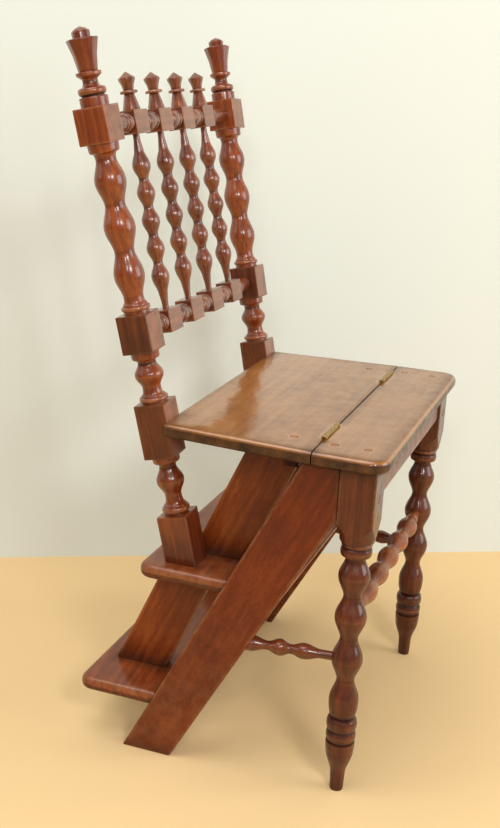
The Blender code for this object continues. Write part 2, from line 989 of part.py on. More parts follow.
def add_hinge_leaf(root, word, place, facing, kind):
    """One brass leaf: a flat plate with its share of the barrel's knuckles."""
    inner = facing * board_joint / 2
    outer = facing * (board_joint / 2 + leaf_thickness)
    half = hinge_length / 2
    low = (min(inner, outer), -half, leaf_top - leaf_depth - hinge_height)
    high = (max(inner, outer), half, leaf_top - hinge_height)
    plate = box_mesh(low, high)
    web_middle = (inner + outer) / 2
    knuckle = hinge_length / knuckle_count
    start = 0 if kind == "fixed" else 1
    barrel = bmesh.new()
    web = bmesh.new()
    web_low = leaf_top - hinge_height - leaf_thickness
    for index in range(start, knuckle_count, 2):
        first = -half + index * knuckle + knuckle_gap / 2
        last = first + knuckle - knuckle_gap
        if index == 0:
            first = -half
        if index == knuckle_count - 1:
            last = half
        rod(barrel, (0.0, first, 0.0), (0.0, last, 0.0), barrel_radius, barrel_sides)
        outline = (
            (web_middle - leaf_thickness / 2, web_low),
            (web_middle + leaf_thickness / 2, web_low),
            (web_middle + leaf_thickness / 2, -barrel_radius / 2),
            (web_middle - leaf_thickness / 2, -barrel_radius / 2),
        )
        add_bmesh(web, side_board(outline, first, last))
    bmesh.ops.recalc_face_normals(web, faces=web.faces)
    name = "hinge_leaf_%s_%s" % (kind, word)
    centre = (0.0, place, hinge_height)
    leaf = add_piece(name, plate, centre, root, brass)
    join(leaf, add_cutter(name + "_webs", web, centre, root))
    join(leaf, add_cutter(name + "_knuckles", barrel, centre, root))
    bore = bmesh.new()
    past = half + cut_overrun
    radius = bore_radius(hinge_pin_radius, tread_pin_sides)
    rod(bore, (0.0, -past, 0.0), (0.0, past, 0.0), radius, tread_pin_sides)
    cut(leaf, add_cutter(name + "_bore", bore, centre, root))


def add_hinge_pin(root, word, place):
    """Pin through the knuckles of one hinge."""
    bm = bmesh.new()
    half = hinge_length / 2
    rod(bm, (0.0, -half, 0.0), (0.0, half, 0.0), hinge_pin_radius, tread_pin_sides)
    add_piece("hinge_pin_" + word, bm, (0.0, place, hinge_height), root, brass, smooth=True)


# Folding top
def post_origin(side):
    """Where a post's axis passes the seat's top."""
    return (-post_reach, side * post_spread, seat_height)


def post_turn(side):
    """A post's rake and splay."""
    return (-side * post_splay, -post_rake, 0.0)


def post_sections():
    """Sections of a back post from its foot up, and of the cup on its top."""
    half = post_side / 2
    sizes = (half, half)
    foot_block_top = seat_block_bottom - foot_turning_length
    seat_block_top = seat_block_bottom + seat_block_height
    lower_block_top = lower_block_bottom + lower_block_height
    upper_block_top = upper_block_bottom + upper_block_height
    tip_height = 2 * hinge_height - turned_over_floor_gap
    tip = (tip_height - seat_height) / math.cos(post_rake) / math.cos(post_splay)
    foot = (mid_tread_height - seat_height) / math.cos(post_rake) - post_side / 2
    rows = squared(foot, foot_block_top, sizes, block_chamfer)[1:]
    rows += follow_profile(post_foot_shares, foot_block_top, foot_turning_length, half)
    rows += squared(seat_block_bottom, seat_block_top, sizes, block_chamfer)
    rows += follow_profile(
        post_waist_shares,
        seat_block_top,
        lower_block_bottom - seat_block_top,
        half,
    )
    rows += squared(lower_block_bottom, lower_block_top, sizes, block_chamfer)
    rows += follow_profile(
        post_back_shares,
        lower_block_top,
        upper_block_bottom - lower_block_top,
        half,
    )
    rows += squared(upper_block_bottom, upper_block_top, sizes, block_chamfer)
    length = tip - upper_block_top
    rows += follow_profile(post_finial_shares, upper_block_top, length, half)
    cup = follow_profile(post_cup_shares, upper_block_top, length, half)
    return rows, cup


def add_back_post(root, side, word):
    """Turned and blocked post, cut level where it stands on the middle tread."""
    rows, cup_rows = post_sections()
    bm = turning(rows, post_sides)
    turn = post_turn(side)
    down = Euler(turn).to_matrix().inverted() @ Vector((0.0, 0.0, -1.0))
    drop = seat_height - mid_tread_height - clearance
    trim(bm, down * drop, down)
    place = post_origin(side)
    post = add_piece("back_post_" + word, bm, place, root, turned_wood, turn, smooth=True)
    cup = turning(cup_rows, octagon_sides, octagon_start)
    join(post, add_cutter("post_cup_" + word, cup, place, root, turn))
    return post


def spindle_places():
    """How far each spindle is from the middle."""
    first = -spindle_spacing * (spindle_count - 1) / 2
    return [first + spindle_spacing * index for index in range(spindle_count)]


def add_rail(root, name, up, posts):
    """Rail squared over each spindle, turned between, let into the post blocks."""
    half_depth = rail_square_depth / 2
    size = (half_depth, rail_square_height / 2)
    half_width = rail_square_width / 2
    face = post_inner_face(up)
    tip = face + rail_socket_depth
    places = spindle_places()
    gap = spindle_spacing - rail_square_width
    end_length = face - places[-1] - half_width
    end = follow_profile(rail_end_shares, 0.0, end_length, half_depth)
    end_size = (rail_end_radius, rail_end_radius)
    end.append((end[-1][0], end_size, "round"))
    end.append((tip - places[-1] - half_width, end_size, "round"))
    rows = [(places[0] - half_width - place, reach, form) for place, reach, form in reversed(end)]
    for index, place in enumerate(places):
        rows += squared(place - half_width, place + half_width, size)
        if index < spindle_count - 1:
            rows += follow_profile(rail_barrel_shares, place + half_width, gap, half_depth)
    rows += [(places[-1] + half_width + place, reach, form) for place, reach, form in end]
    rail = add_piece(
        name,
        turning(rows, rail_sides),
        back_point(up, 0.0),
        root,
        turned_wood,
        turn=(math.radians(-90), -post_rake, 0.0),
        smooth=True,
    )
    for side, post in posts.items():
        bore = add_bore(
            "%s_socket_%s" % (name, post.name),
            back_point(up, side * face),
            Vector((0.0, side * (rail_socket_depth + clearance), 0.0)),
            rail_end_radius,
            rail_sides,
            root,
        )
        cut(post, bore)
    return rail


def upward(distance):
    """A step up the raked back."""
    return back_point(distance, 0.0) - back_point(0.0, 0.0)


def rail_bores(name, up, heading, radius, depth, root):
    """Cutter for the holes in one face of a rail, one over each spindle."""
    bm = bmesh.new()
    reach = rail_square_height / 2
    for place in spindle_places():
        mouth = back_point(up + heading * reach, place)
        start = mouth + upward(heading * cut_overrun)
        bottom = mouth - upward(heading * (depth + clearance))
        rod(bm, start, bottom, bore_radius(radius, spindle_sides), spindle_sides)
    return add_cutter(name, bm, (0.0, 0.0, 0.0), root)


def add_spindles(root, low_rail, low_up, high_rail, high_up):
    """Spindles between the rails and the finials above them."""
    reach = rail_square_height / 2
    low = low_up + reach + clearance
    high = high_up - reach - clearance
    length = high - low
    rows = follow_profile(spindle_shares, 0.0, length, spindle_radius)
    foot_size = rows[0][1]
    head_size = rows[-1][1]
    rows.insert(0, (-spindle_tenon, foot_size, "round"))
    rows.append((length + spindle_tenon, head_size, "round"))
    turn = (0.0, -post_rake, 0.0)
    for number, place in enumerate(spindle_places()):
        add_piece(
            "spindle_%d" % (number + 1),
            turning(rows, spindle_sides),
            back_point(low, place),
            root,
            turned_wood,
            turn=turn,
            smooth=True,
        )
    foot_bores = rail_bores("spindle_foot_bores", low_up, 1, foot_size[0], spindle_tenon, root)
    head_bores = rail_bores("spindle_head_bores", high_up, -1, head_size[0], spindle_tenon, root)
    cut(low_rail, foot_bores)
    cut(high_rail, head_bores)
    base = high_up + reach + clearance
    dowel_size = (finial_dowel_radius, finial_dowel_radius)
    finial = [(-finial_dowel_length, dowel_size, "round"), (0.0, dowel_size, "round")]
    height = finial_height
    for shares in (finial_base_shares, finial_disc_shares, finial_cup_shares):
        finial += follow_profile(shares, 0.0, height, finial_radius)
    for number, place in enumerate(spindle_places()):
        add_piece(
            "spindle_finial_%d" % (number + 1),
            turning(finial, octagon_sides, octagon_start),
            back_point(base, place),
            root,
            turned_wood,
            turn=(0.0, -post_rake, 0.0),
            smooth=True,
        )
    dowel_bores = rail_bores(
        "finial_bores",
        high_up,
        1,
        finial_dowel_radius,
        finial_dowel_length,
        root,
    )
    cut(high_rail, dowel_bores)


def add_moving_tread(root, name, height, reach):
    """Tread behind the outer strings, its front edge following their slope."""
    low = height - tread_thickness
    front = string_rear_edge(height) + cut_overrun
    corners = (
        (front, tread_half_length),
        (-reach, tread_half_length),
        (-reach, -tread_half_length),
        (front, -tread_half_length),
    )
    radii = (0.0, tread_corner, tread_corner, 0.0)
    bm = moulded_board(corners, radii, low, tread_thickness, tread_edge_rounding)
    slope = math.atan2(string_foot_rear - string_head_rear, support_height)
    normal = Vector((math.cos(slope), 0.0, -math.sin(slope)))
    edge = Vector((string_rear_edge(height), 0.0, height))
    trim(bm, edge - normal * tread_front_gap, normal)
    tread = add_piece(name, bm, (0.0, 0.0, 0.0), root, string_wood, smooth=True)
    ease_arrises(tread)


def add_inner_string(root, name, side, foot_x, low, high):
    """Inner string between two treads that turn over."""
    run = (high - low) * inner_string_slope_share
    outline = (
        (-foot_x, low),
        (-foot_x + inner_string_width, low),
        (-foot_x + inner_string_width + run, high),
        (-foot_x + run, high),
    )
    inner = inner_string_face - string_thickness
    bm = side_board(outline, side * inner, side * inner_string_face)
    string = add_piece(name, bm, (0.0, 0.0, 0.0), root, string_wood)
    ease_arrises(string)
    return string


def add_inner_strings(root, side, word):
    """Both inner strings of one side, the upper one notched round the cleat."""
    upper = add_inner_string(
        root,
        "upper_string_" + word,
        side,
        upper_string_foot,
        mid_tread_height + clearance,
        support_height,
    )
    notch_low = (
        -cleat_reach - cleat_width / 2 - clearance,
        -cleat_half_length,
        support_height - cleat_depth - clearance,
    )
    notch_high = (cut_overrun, cleat_half_length, support_height + cut_overrun)
    notch = box_mesh(notch_low, notch_high)
    cut(upper, add_cutter("cleat_notch_" + word, notch, (0.0, 0.0, 0.0), root))
    add_inner_string(
        root,
        "lower_string_" + word,
        side,
        lower_string_foot,
        low_tread_height + clearance,
        mid_tread_height - tread_thickness - clearance,
    )


def add_board_cleat(root):
    """Cleat screwed under the rear seat board."""
    low = (-cleat_reach - cleat_width / 2, -cleat_half_length, support_height - cleat_depth)
    high = (-cleat_reach + cleat_width / 2, cleat_half_length, support_height)
    cleat = add_piece("board_cleat", box_mesh(low, high), (0.0, 0.0, 0.0), root, hidden_wood)
    ease_arrises(cleat)


def add_stand(root):
    """All the pieces that stay on the floor."""
    legs = {}
    strings = {}
    for side, word in ((1, "left"), (-1, "right")):
        legs[side] = add_front_leg(root, side, word)
        strings[side] = add_outer_string(root, side, word)
        add_corner_block(root, side, word)
        add_side_stretcher(root, side, word, legs[side], strings[side])
    tread = add_fixed_tread(root)
    for side, word in ((1, "left"), (-1, "right")):
        add_tread_pins(root, side, word, strings[side], tread)
        add_hinge_leaf(root, word, side * hinge_place, 1, "fixed")
        add_hinge_pin(root, word, side * hinge_place)
    add_front_rail(root)
    add_front_stretcher(root, legs)
    add_front_strip(root)


def add_top(root):
    """All the pieces that turn over about the hinge line."""
    posts = {}
    add_rear_board(root)
    for side, word in ((1, "left"), (-1, "right")):
        posts[side] = add_back_post(root, side, word)
        add_inner_strings(root, side, word)
        add_hinge_leaf(root, word, side * hinge_place, -1, "moving")
    lower_up = (lower_block_bottom + lower_block_height / 2) * math.cos(post_splay)
    upper_up = (upper_block_bottom + upper_block_height / 2) * math.cos(post_splay)
    lower_rail = add_rail(root, "lower_back_rail", lower_up, posts)
    crest_rail = add_rail(root, "crest_rail", upper_up, posts)
    add_spindles(root, lower_rail, lower_up, crest_rail, upper_up)
    add_moving_tread(root, "mid_tread", mid_tread_height, mid_tread_reach)
    add_moving_tread(root, "low_tread", low_tread_height, low_tread_reach)
    add_board_cleat(root)


def centre_on_origin(roots, cup):
    """Slide the chair until the origin is on the floor under its middle."""
    turn = Euler(post_turn(1)).to_matrix()
    rear = min((turn @ vertex.co).x for vertex in cup.data.vertices) - post_reach
    for root in roots:
        root.location.x = -(rear + seat_front_reach) / 2


def main():
    """Build the chair at rest, with the seat flat."""
    clear_scene()
    stand = add_root("stand_root", (0.0, 0.0, 0.0))
    stand["height"] = 0.0
    top = add_root("seat_hinge_root", (0.0, 0.0, hinge_height))
    top["height"] = hinge_height
    add_stand(stand)
    add_top(top)
    centre_on_origin((stand, top), bpy.data.objects["post_cup_left"])


main()
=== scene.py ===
"""Looks of a library step chair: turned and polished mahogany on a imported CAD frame.

Laid out as a Blender add-on. Each operator makes one piece or a group of like
pieces in the chair's own frame, and the main function runs them in order.
"""

import json
import math

import bmesh
import bpy
from mathutils import Euler, Matrix, Vector


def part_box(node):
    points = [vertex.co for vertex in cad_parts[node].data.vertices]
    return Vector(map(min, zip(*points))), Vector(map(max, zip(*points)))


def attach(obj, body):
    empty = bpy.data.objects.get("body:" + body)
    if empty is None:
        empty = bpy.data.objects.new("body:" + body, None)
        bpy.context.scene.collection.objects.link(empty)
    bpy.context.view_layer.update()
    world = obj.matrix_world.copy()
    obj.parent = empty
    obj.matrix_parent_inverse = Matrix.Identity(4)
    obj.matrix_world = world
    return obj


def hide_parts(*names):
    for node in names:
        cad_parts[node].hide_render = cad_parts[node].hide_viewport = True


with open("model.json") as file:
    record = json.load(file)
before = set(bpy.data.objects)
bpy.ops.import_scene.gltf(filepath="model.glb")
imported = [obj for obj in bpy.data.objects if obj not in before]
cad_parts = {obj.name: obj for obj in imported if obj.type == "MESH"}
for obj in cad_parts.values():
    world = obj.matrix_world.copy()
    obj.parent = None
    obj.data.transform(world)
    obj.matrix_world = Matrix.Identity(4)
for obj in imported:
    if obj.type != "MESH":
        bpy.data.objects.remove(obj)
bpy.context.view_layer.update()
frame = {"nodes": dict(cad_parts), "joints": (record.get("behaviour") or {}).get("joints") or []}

bl_info = {
    "name": "Library step chair",
    "version": (1, 0, 0),
    "blender": (4, 5, 0),
    "location": "3D View > Sidebar > Step chair",
    "description": "Builds the turned, sawn and polished pieces of a library step chair",
    "category": "Object",
}

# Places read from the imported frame
hinge_x, _, hinge_height = (float(value) for value in frame["joints"][0]["pos_m"])
seat_low, seat_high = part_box("rear_seat_board")
strip_low, strip_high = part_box("front_seat_strip")
string_low, string_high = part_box("outer_string_left")
leg_low, leg_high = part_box("front_leg_left")
mid_low, mid_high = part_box("mid_tread")
rail_low, rail_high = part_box("front_rail")
seat_height = seat_high.z
board_thickness = seat_high.z - seat_low.z
support_height = leg_high.z
board_joint = strip_low.x - seat_high.x
leg_block_side = leg_high.x - leg_low.x
leg_reach = (leg_high.x + leg_low.x) / 2
leg_spread = (leg_high.y + leg_low.y) / 2
tread_thickness = mid_high.z - mid_low.z

# Sizes of the raked back, as in the CAD
clearance = 0.0003
post_reach = 0.212
post_spread = 0.188
post_rake = math.radians(12.6)
post_splay = math.radians(2.9)
block_places = ((-0.0507, 0.0196), (0.0847, 0.1323), (0.3362, 0.3785))
foot_block_top = -0.1283
foot_block_end = -0.215
post_tip = 0.468283
spindle_places = (-0.1113, -0.0371, 0.0371, 0.1113)
rail_ups = (0.1085, 0.35735)
rail_square_height = 0.029
rail_square_depth = 0.024
rail_square_width = 0.038
rail_end_radius = 0.0095
finial_height = 0.0461

# Sizes of the stand, the seat and the treads, as in the CAD
board_rear_half = 0.213
strip_corner = 0.022
board_corner = 0.0095
tread_corner = 0.018
plug_hole_depth = 0.003
leg_plug_drop = 0.037
leg_shoulder_height = 0.025
leg_turned_height = 0.343
string_foot_rear = 0.2343
string_foot_front = 0.1669
string_head_rear = 0.0123
string_throat_height = 0.3704
string_throat = leg_low.x - hinge_x - clearance
string_slope = math.atan2(string_foot_rear - string_head_rear, support_height)
throat_slope = math.atan2(string_foot_front + string_throat, string_throat_height)
inner_string_feet = (("upper", 0.1727), ("lower", 0.2782))
inner_string_width = 0.0714
inner_string_rake = 0.4403
inner_string_spread = 0.14
inner_string_thickness = 0.020
side_stretcher_spread = 0.209
strip_plug_places = [(x, y) for x in (0.0175, 0.058) for y in (0.188, -0.188)]
board_plug_places = [(-0.035, y) for y in (0.182, -0.182)]
hinge_place = 0.145
hinge_length = 0.062
housing_depth = 0.0185
barrel_radius = 0.0035
knuckle_count = 5
leaf_thickness = 0.0012
leaf_drop = 0.0006
both_sides = ((1, "left"), (-1, "right"))
facets = 8
half_facet = math.radians(22.5)

# Turned profiles from the bottom up, as in the CAD. Each row is a kind of line,
# the place it ends at and a radius, both as shares. A bead also has its belly.
leg_profile = (
    ("line", 0.000, 0.37), ("line", 0.012, 0.39), ("line", 0.072, 0.43),
    ("wave", 0.172, 0.80), ("round", 0.204, 0.83), ("line", 0.206, 0.74),
    ("line", 0.214, 0.74), ("bead", 0.248, 0.77, 0.85), ("line", 0.255, 0.72),
    ("bead", 0.303, 0.72, 0.87), ("line", 0.307, 0.62), ("round", 0.375, 0.84),
    ("wave", 0.458, 0.50), ("wave", 0.540, 0.88), ("wave", 0.622, 0.50),
    ("wave", 0.706, 0.89), ("wave", 0.787, 0.50), ("wave", 0.867, 0.87),
    ("wave", 0.932, 0.55), ("hollow", 0.946, 0.76), ("bead", 0.976, 0.80, 0.87),
    ("line", 0.982, 0.74), ("bead", 1.000, 0.78, 0.86),
)
front_stretcher_share = 0.706
side_stretcher_share = 0.540
post_foot_profile = (
    ("line", 0.000, 0.72), ("line", 0.035, 0.72), ("bead", 0.125, 0.78, 0.88),
    ("line", 0.130, 0.74), ("round", 0.165, 0.68), ("hollow", 0.320, 0.52),
    ("wave", 0.570, 0.88), ("wave", 0.815, 0.53), ("hollow", 0.885, 0.74),
    ("line", 0.888, 0.78), ("round", 0.920, 0.86), ("line", 1.000, 0.87),
)
post_waist_profile = (
    ("line", 0.000, 0.76), ("line", 0.035, 0.76), ("bead", 0.115, 0.82, 0.90),
    ("line", 0.120, 0.76), ("round", 0.155, 0.70), ("hollow", 0.300, 0.57),
    ("wave", 0.545, 0.90), ("wave", 0.775, 0.56), ("hollow", 0.850, 0.74),
    ("line", 0.854, 0.78), ("round", 0.890, 0.87), ("line", 1.000, 0.89),
)
post_back_profile = (
    ("line", 0.000, 0.78), ("line", 0.020, 0.78), ("bead", 0.046, 0.80, 0.89),
    ("line", 0.048, 0.76), ("round", 0.062, 0.70), ("hollow", 0.100, 0.61),
    ("wave", 0.231, 0.93), ("wave", 0.372, 0.60), ("wave", 0.514, 0.95),
    ("wave", 0.650, 0.61), ("wave", 0.784, 0.94), ("wave", 0.912, 0.61),
    ("hollow", 0.945, 0.76), ("line", 0.948, 0.82), ("round", 0.962, 0.91),
    ("line", 1.000, 0.94),
)
post_finial_profile = (
    ("line", 0.000, 0.83), ("line", 0.112, 0.84), ("round", 0.126, 0.79),
    ("line", 0.130, 0.67), ("line", 0.142, 0.67), ("round", 0.195, 0.83),
    ("round", 0.242, 0.68), ("line", 0.250, 0.60), ("hollow", 0.320, 0.44),
    ("hollow", 0.352, 0.50), ("line", 0.396, 0.74), ("line", 0.426, 0.75),
    ("round", 0.436, 0.70), ("line", 0.440, 0.50), ("line", 0.475, 0.35),
)
post_cup_profile = (
    ("line", 0.430, 0.50), ("line", 0.442, 0.57), ("line", 0.640, 0.70),
    ("line", 0.836, 0.93), ("line", 0.850, 0.90), ("line", 0.853, 0.52),
    ("line", 0.924, 0.54), ("line", 0.942, 0.51), ("line", 0.972, 0.34),
    ("line", 1.000, 0.00),
)
rail_barrel_profile = (
    ("line", 0.00, 0.86), ("line", 0.06, 0.86), ("bead", 0.20, 0.90, 1.00),
    ("line", 0.23, 0.80), ("bead", 0.77, 0.86, 1.06), ("line", 0.80, 0.90),
    ("bead", 0.94, 0.90, 1.00), ("line", 0.95, 0.86), ("line", 1.00, 0.86),
)
rail_end_profile = (
    ("line", 0.00, 0.86), ("line", 0.04, 0.86), ("bead", 0.22, 0.88, 1.00),
    ("line", 0.24, 0.80), ("bead", 0.32, 0.80, 0.90),
)
side_stretcher_profile = (
    ("line", 0.00, 0.98), ("wave", 0.22, 0.52), ("wave", 0.38, 1.00),
    ("wave", 0.52, 0.55), ("wave", 0.68, 0.95), ("wave", 0.90, 0.52),
    ("line", 1.00, 0.52),
)
spindle_profile = (
    ("line", 0.000, 0.34), ("line", 0.040, 0.38), ("line", 0.085, 0.50),
    ("wave", 0.189, 1.00), ("wave", 0.269, 0.53), ("wave", 0.349, 1.00),
    ("wave", 0.429, 0.53), ("wave", 0.509, 1.00), ("wave", 0.589, 0.53),
    ("wave", 0.669, 1.00), ("wave", 0.747, 0.53), ("wave", 0.822, 1.00),
    ("wave", 0.915, 0.52), ("line", 0.965, 0.38), ("line", 1.000, 0.36),
)
finial_base_profile = (
    ("line", 0.000, 1.00), ("line", 0.030, 1.00), ("line", 0.425, 0.58),
    ("line", 0.440, 0.50),
)
finial_disc_profile = (
    ("line", 0.420, 0.52), ("line", 0.424, 0.84), ("bead", 0.505, 0.88, 1.02),
    ("line", 0.512, 0.60), ("line", 0.520, 0.50),
)
finial_cup_profile = (
    ("line", 0.508, 0.60), ("line", 0.640, 0.70), ("line", 0.800, 0.97),
    ("line", 0.838, 0.95), ("line", 0.985, 0.14), ("line", 1.000, 0.00),
)


# Properties that a user would change
def from_hex(code):
    """Linear red, green and blue of an sRGB hex colour."""
    values = [int(code[index : index + 2], 16) / 255 for index in (1, 3, 5)]
    return tuple(
        value / 12.92 if value <= 0.04045 else ((value + 0.055) / 1.055) ** 2.4
        for value in values
    )


def length_property(name, description, default):
    """A length in metres that a user can change."""
    return bpy.props.FloatProperty(
        name=name, description=description, default=default, min=0.0, unit="LENGTH", precision=4
    )


def fullness_property(piece, default):
    """How full the bobbins of one kind of turning are."""
    return bpy.props.FloatProperty(
        name=piece + " fullness",
        description="How full the bobbins are; 1 is an even wave",
        default=default,
        min=0.5,
        max=1.6,
        subtype="FACTOR",
    )


def colour_property(name, description, code):
    """A colour that a user can change."""
    return bpy.props.FloatVectorProperty(
        name=name,
        description=description,
        default=from_hex(code),
        size=3,
        min=0.0,
        max=1.0,
        subtype="COLOR",
    )


class StepChairSizes(bpy.types.PropertyGroup):
    """Sizes of the chair's visible detail."""

    turned_sides: bpy.props.IntProperty(
        name="Turned sides", description="Faces round a turned piece", default=48, min=12, max=96
    )
    leg_fullness: fullness_property("Leg", 0.88)
    post_fullness: fullness_property("Post", 0.92)
    spindle_fullness: fullness_property("Spindle", 0.92)
    post_side: length_property("Post side", "Width of the back posts' square blocks", 0.0404)
    spindle_radius: length_property("Spindle radius", "Fullest radius of a spindle", 0.0116)
    finial_radius: length_property("Finial radius", "Radius of a small finial's base", 0.011)
    stretcher_radius: length_property(
        "Front stretcher radius", "Fullest radius of the front stretcher", 0.0142
    )
    side_stretcher_radius: length_property(
        "Side stretcher radius", "Fullest radius of the side stretchers", 0.0108
    )
    block_arris: length_property("Block arris", "Worn edge of the turned squares", 0.0008)
    board_arris: length_property("Board arris", "Worn edge of the sawn boards", 0.0013)
    bullnose: length_property("Seat bullnose", "Rounding of the seat's edges", 0.0072)
    tread_bullnose: length_property("Tread bullnose", "Rounding of the treads' edges", 0.0080)
    plug_radius: length_property("Plug radius", "Radius of the plugs over the screws", 0.005)


class StepChairFinishes(bpy.types.PropertyGroup):
    """Colours of the chair and of what surrounds it."""

    turned_light: colour_property("Turned, light", "Light grain of the turned pieces", "#A4541A")
    turned_mid: colour_property("Turned, middle", "Middle tone of the turned pieces", "#742F0B")
    turned_dark: colour_property("Turned, dark", "Dark grain of the turned pieces", "#3E1204")
    spindle_light: colour_property(
        "Spindles, light", "Light grain of the spindles and rails", "#9C5220"
    )
    spindle_mid: colour_property(
        "Spindles, middle", "Middle tone of the spindles and rails", "#6A2D10"
    )
    spindle_dark: colour_property(
        "Spindles, dark", "Dark grain of the spindles and rails", "#341209"
    )
    # The legs' tones are a darker copy of the turned ones: painted shade, as the legs stand low,
    # away from the light
    leg_light: colour_property("Legs, light", "Light grain of the legs", "#7A3712")
    leg_mid: colour_property("Legs, middle", "Middle tone of the legs", "#4E1D08")
    leg_dark: colour_property("Legs, dark", "Dark grain of the legs", "#2E0E05")
    string_light: colour_property("Strings, light", "Light grain of the strings", "#8A3C0E")
    string_mid: colour_property("Strings, middle", "Middle tone of the strings", "#672508")
    string_dark: colour_property("Strings, dark", "Dark grain of the strings", "#3F1404")
    seat_light: colour_property("Seat, light", "Light grain of the seat", "#B87D3C")
    seat_mid: colour_property("Seat, middle", "Middle tone of the seat", "#975E22")
    seat_dark: colour_property("Seat, dark", "Dark grain of the seat", "#64360E")
    bare_wood: colour_property("Bare wood", "Unpolished wood under the seat", "#9B7750")
    # The dark colour of old wax, also mixed in as painted shade
    grime: colour_property("Grime", "Old wax and dirt in the hollows", "#210E07")
    # The pale colour of rubbed wood, also mixed in for painted highlights and painted light
    worn: colour_property("Worn edges", "Wood rubbed thin of polish on the edges", "#A9744B")
    brass: colour_property("Brass", "Worn brass of the hinges", "#B9985C")
    floor: colour_property("Floor", "Plain pale floor", "#DCBD8B")
    wall: colour_property("Wall", "Plain pale backdrop", "#D6DDD8")


# Nodes
def add_node(tree, kind, settings=None, links=None):
    """Add a node with its settings, ramp stops, socket values and links.

    A link's source is a socket, or a node, whose first output in use is then meant.
    """
    node = tree.nodes.new("ShaderNode" + kind)
    for key, value in (settings or {}).items():
        if key == "stops":
            elements = node.color_ramp.elements
            while len(elements) < len(value):
                elements.new(1.0)
            for element, (place, colour) in zip(elements, value):
                element.position = place
                element.color = (*colour, 1.0)
        elif isinstance(key, str) and hasattr(node, key):
            setattr(node, key, value)
        else:
            node.inputs[key].default_value = value
    for key, source in (links or {}).items():
        if isinstance(source, bpy.types.Node):
            source = next(socket for socket in source.outputs if socket.enabled)
        tree.links.new(source, node.inputs[key])
    return node


def new_material(name, shown):
    """An empty node material with its tree and its object coordinates."""
    material = bpy.data.materials.new(name)
    material.use_nodes = True
    material.diffuse_color = (*shown, 1.0)
    tree = material.node_tree
    tree.nodes.clear()
    return material, tree, add_node(tree, "TexCoord").outputs["Object"]


def tones(finishes, kind):
    """The light, middle and dark tone of one kind of wood."""
    return [tuple(getattr(finishes, "%s_%s" % (kind, tone))) for tone in ("light", "mid", "dark")]


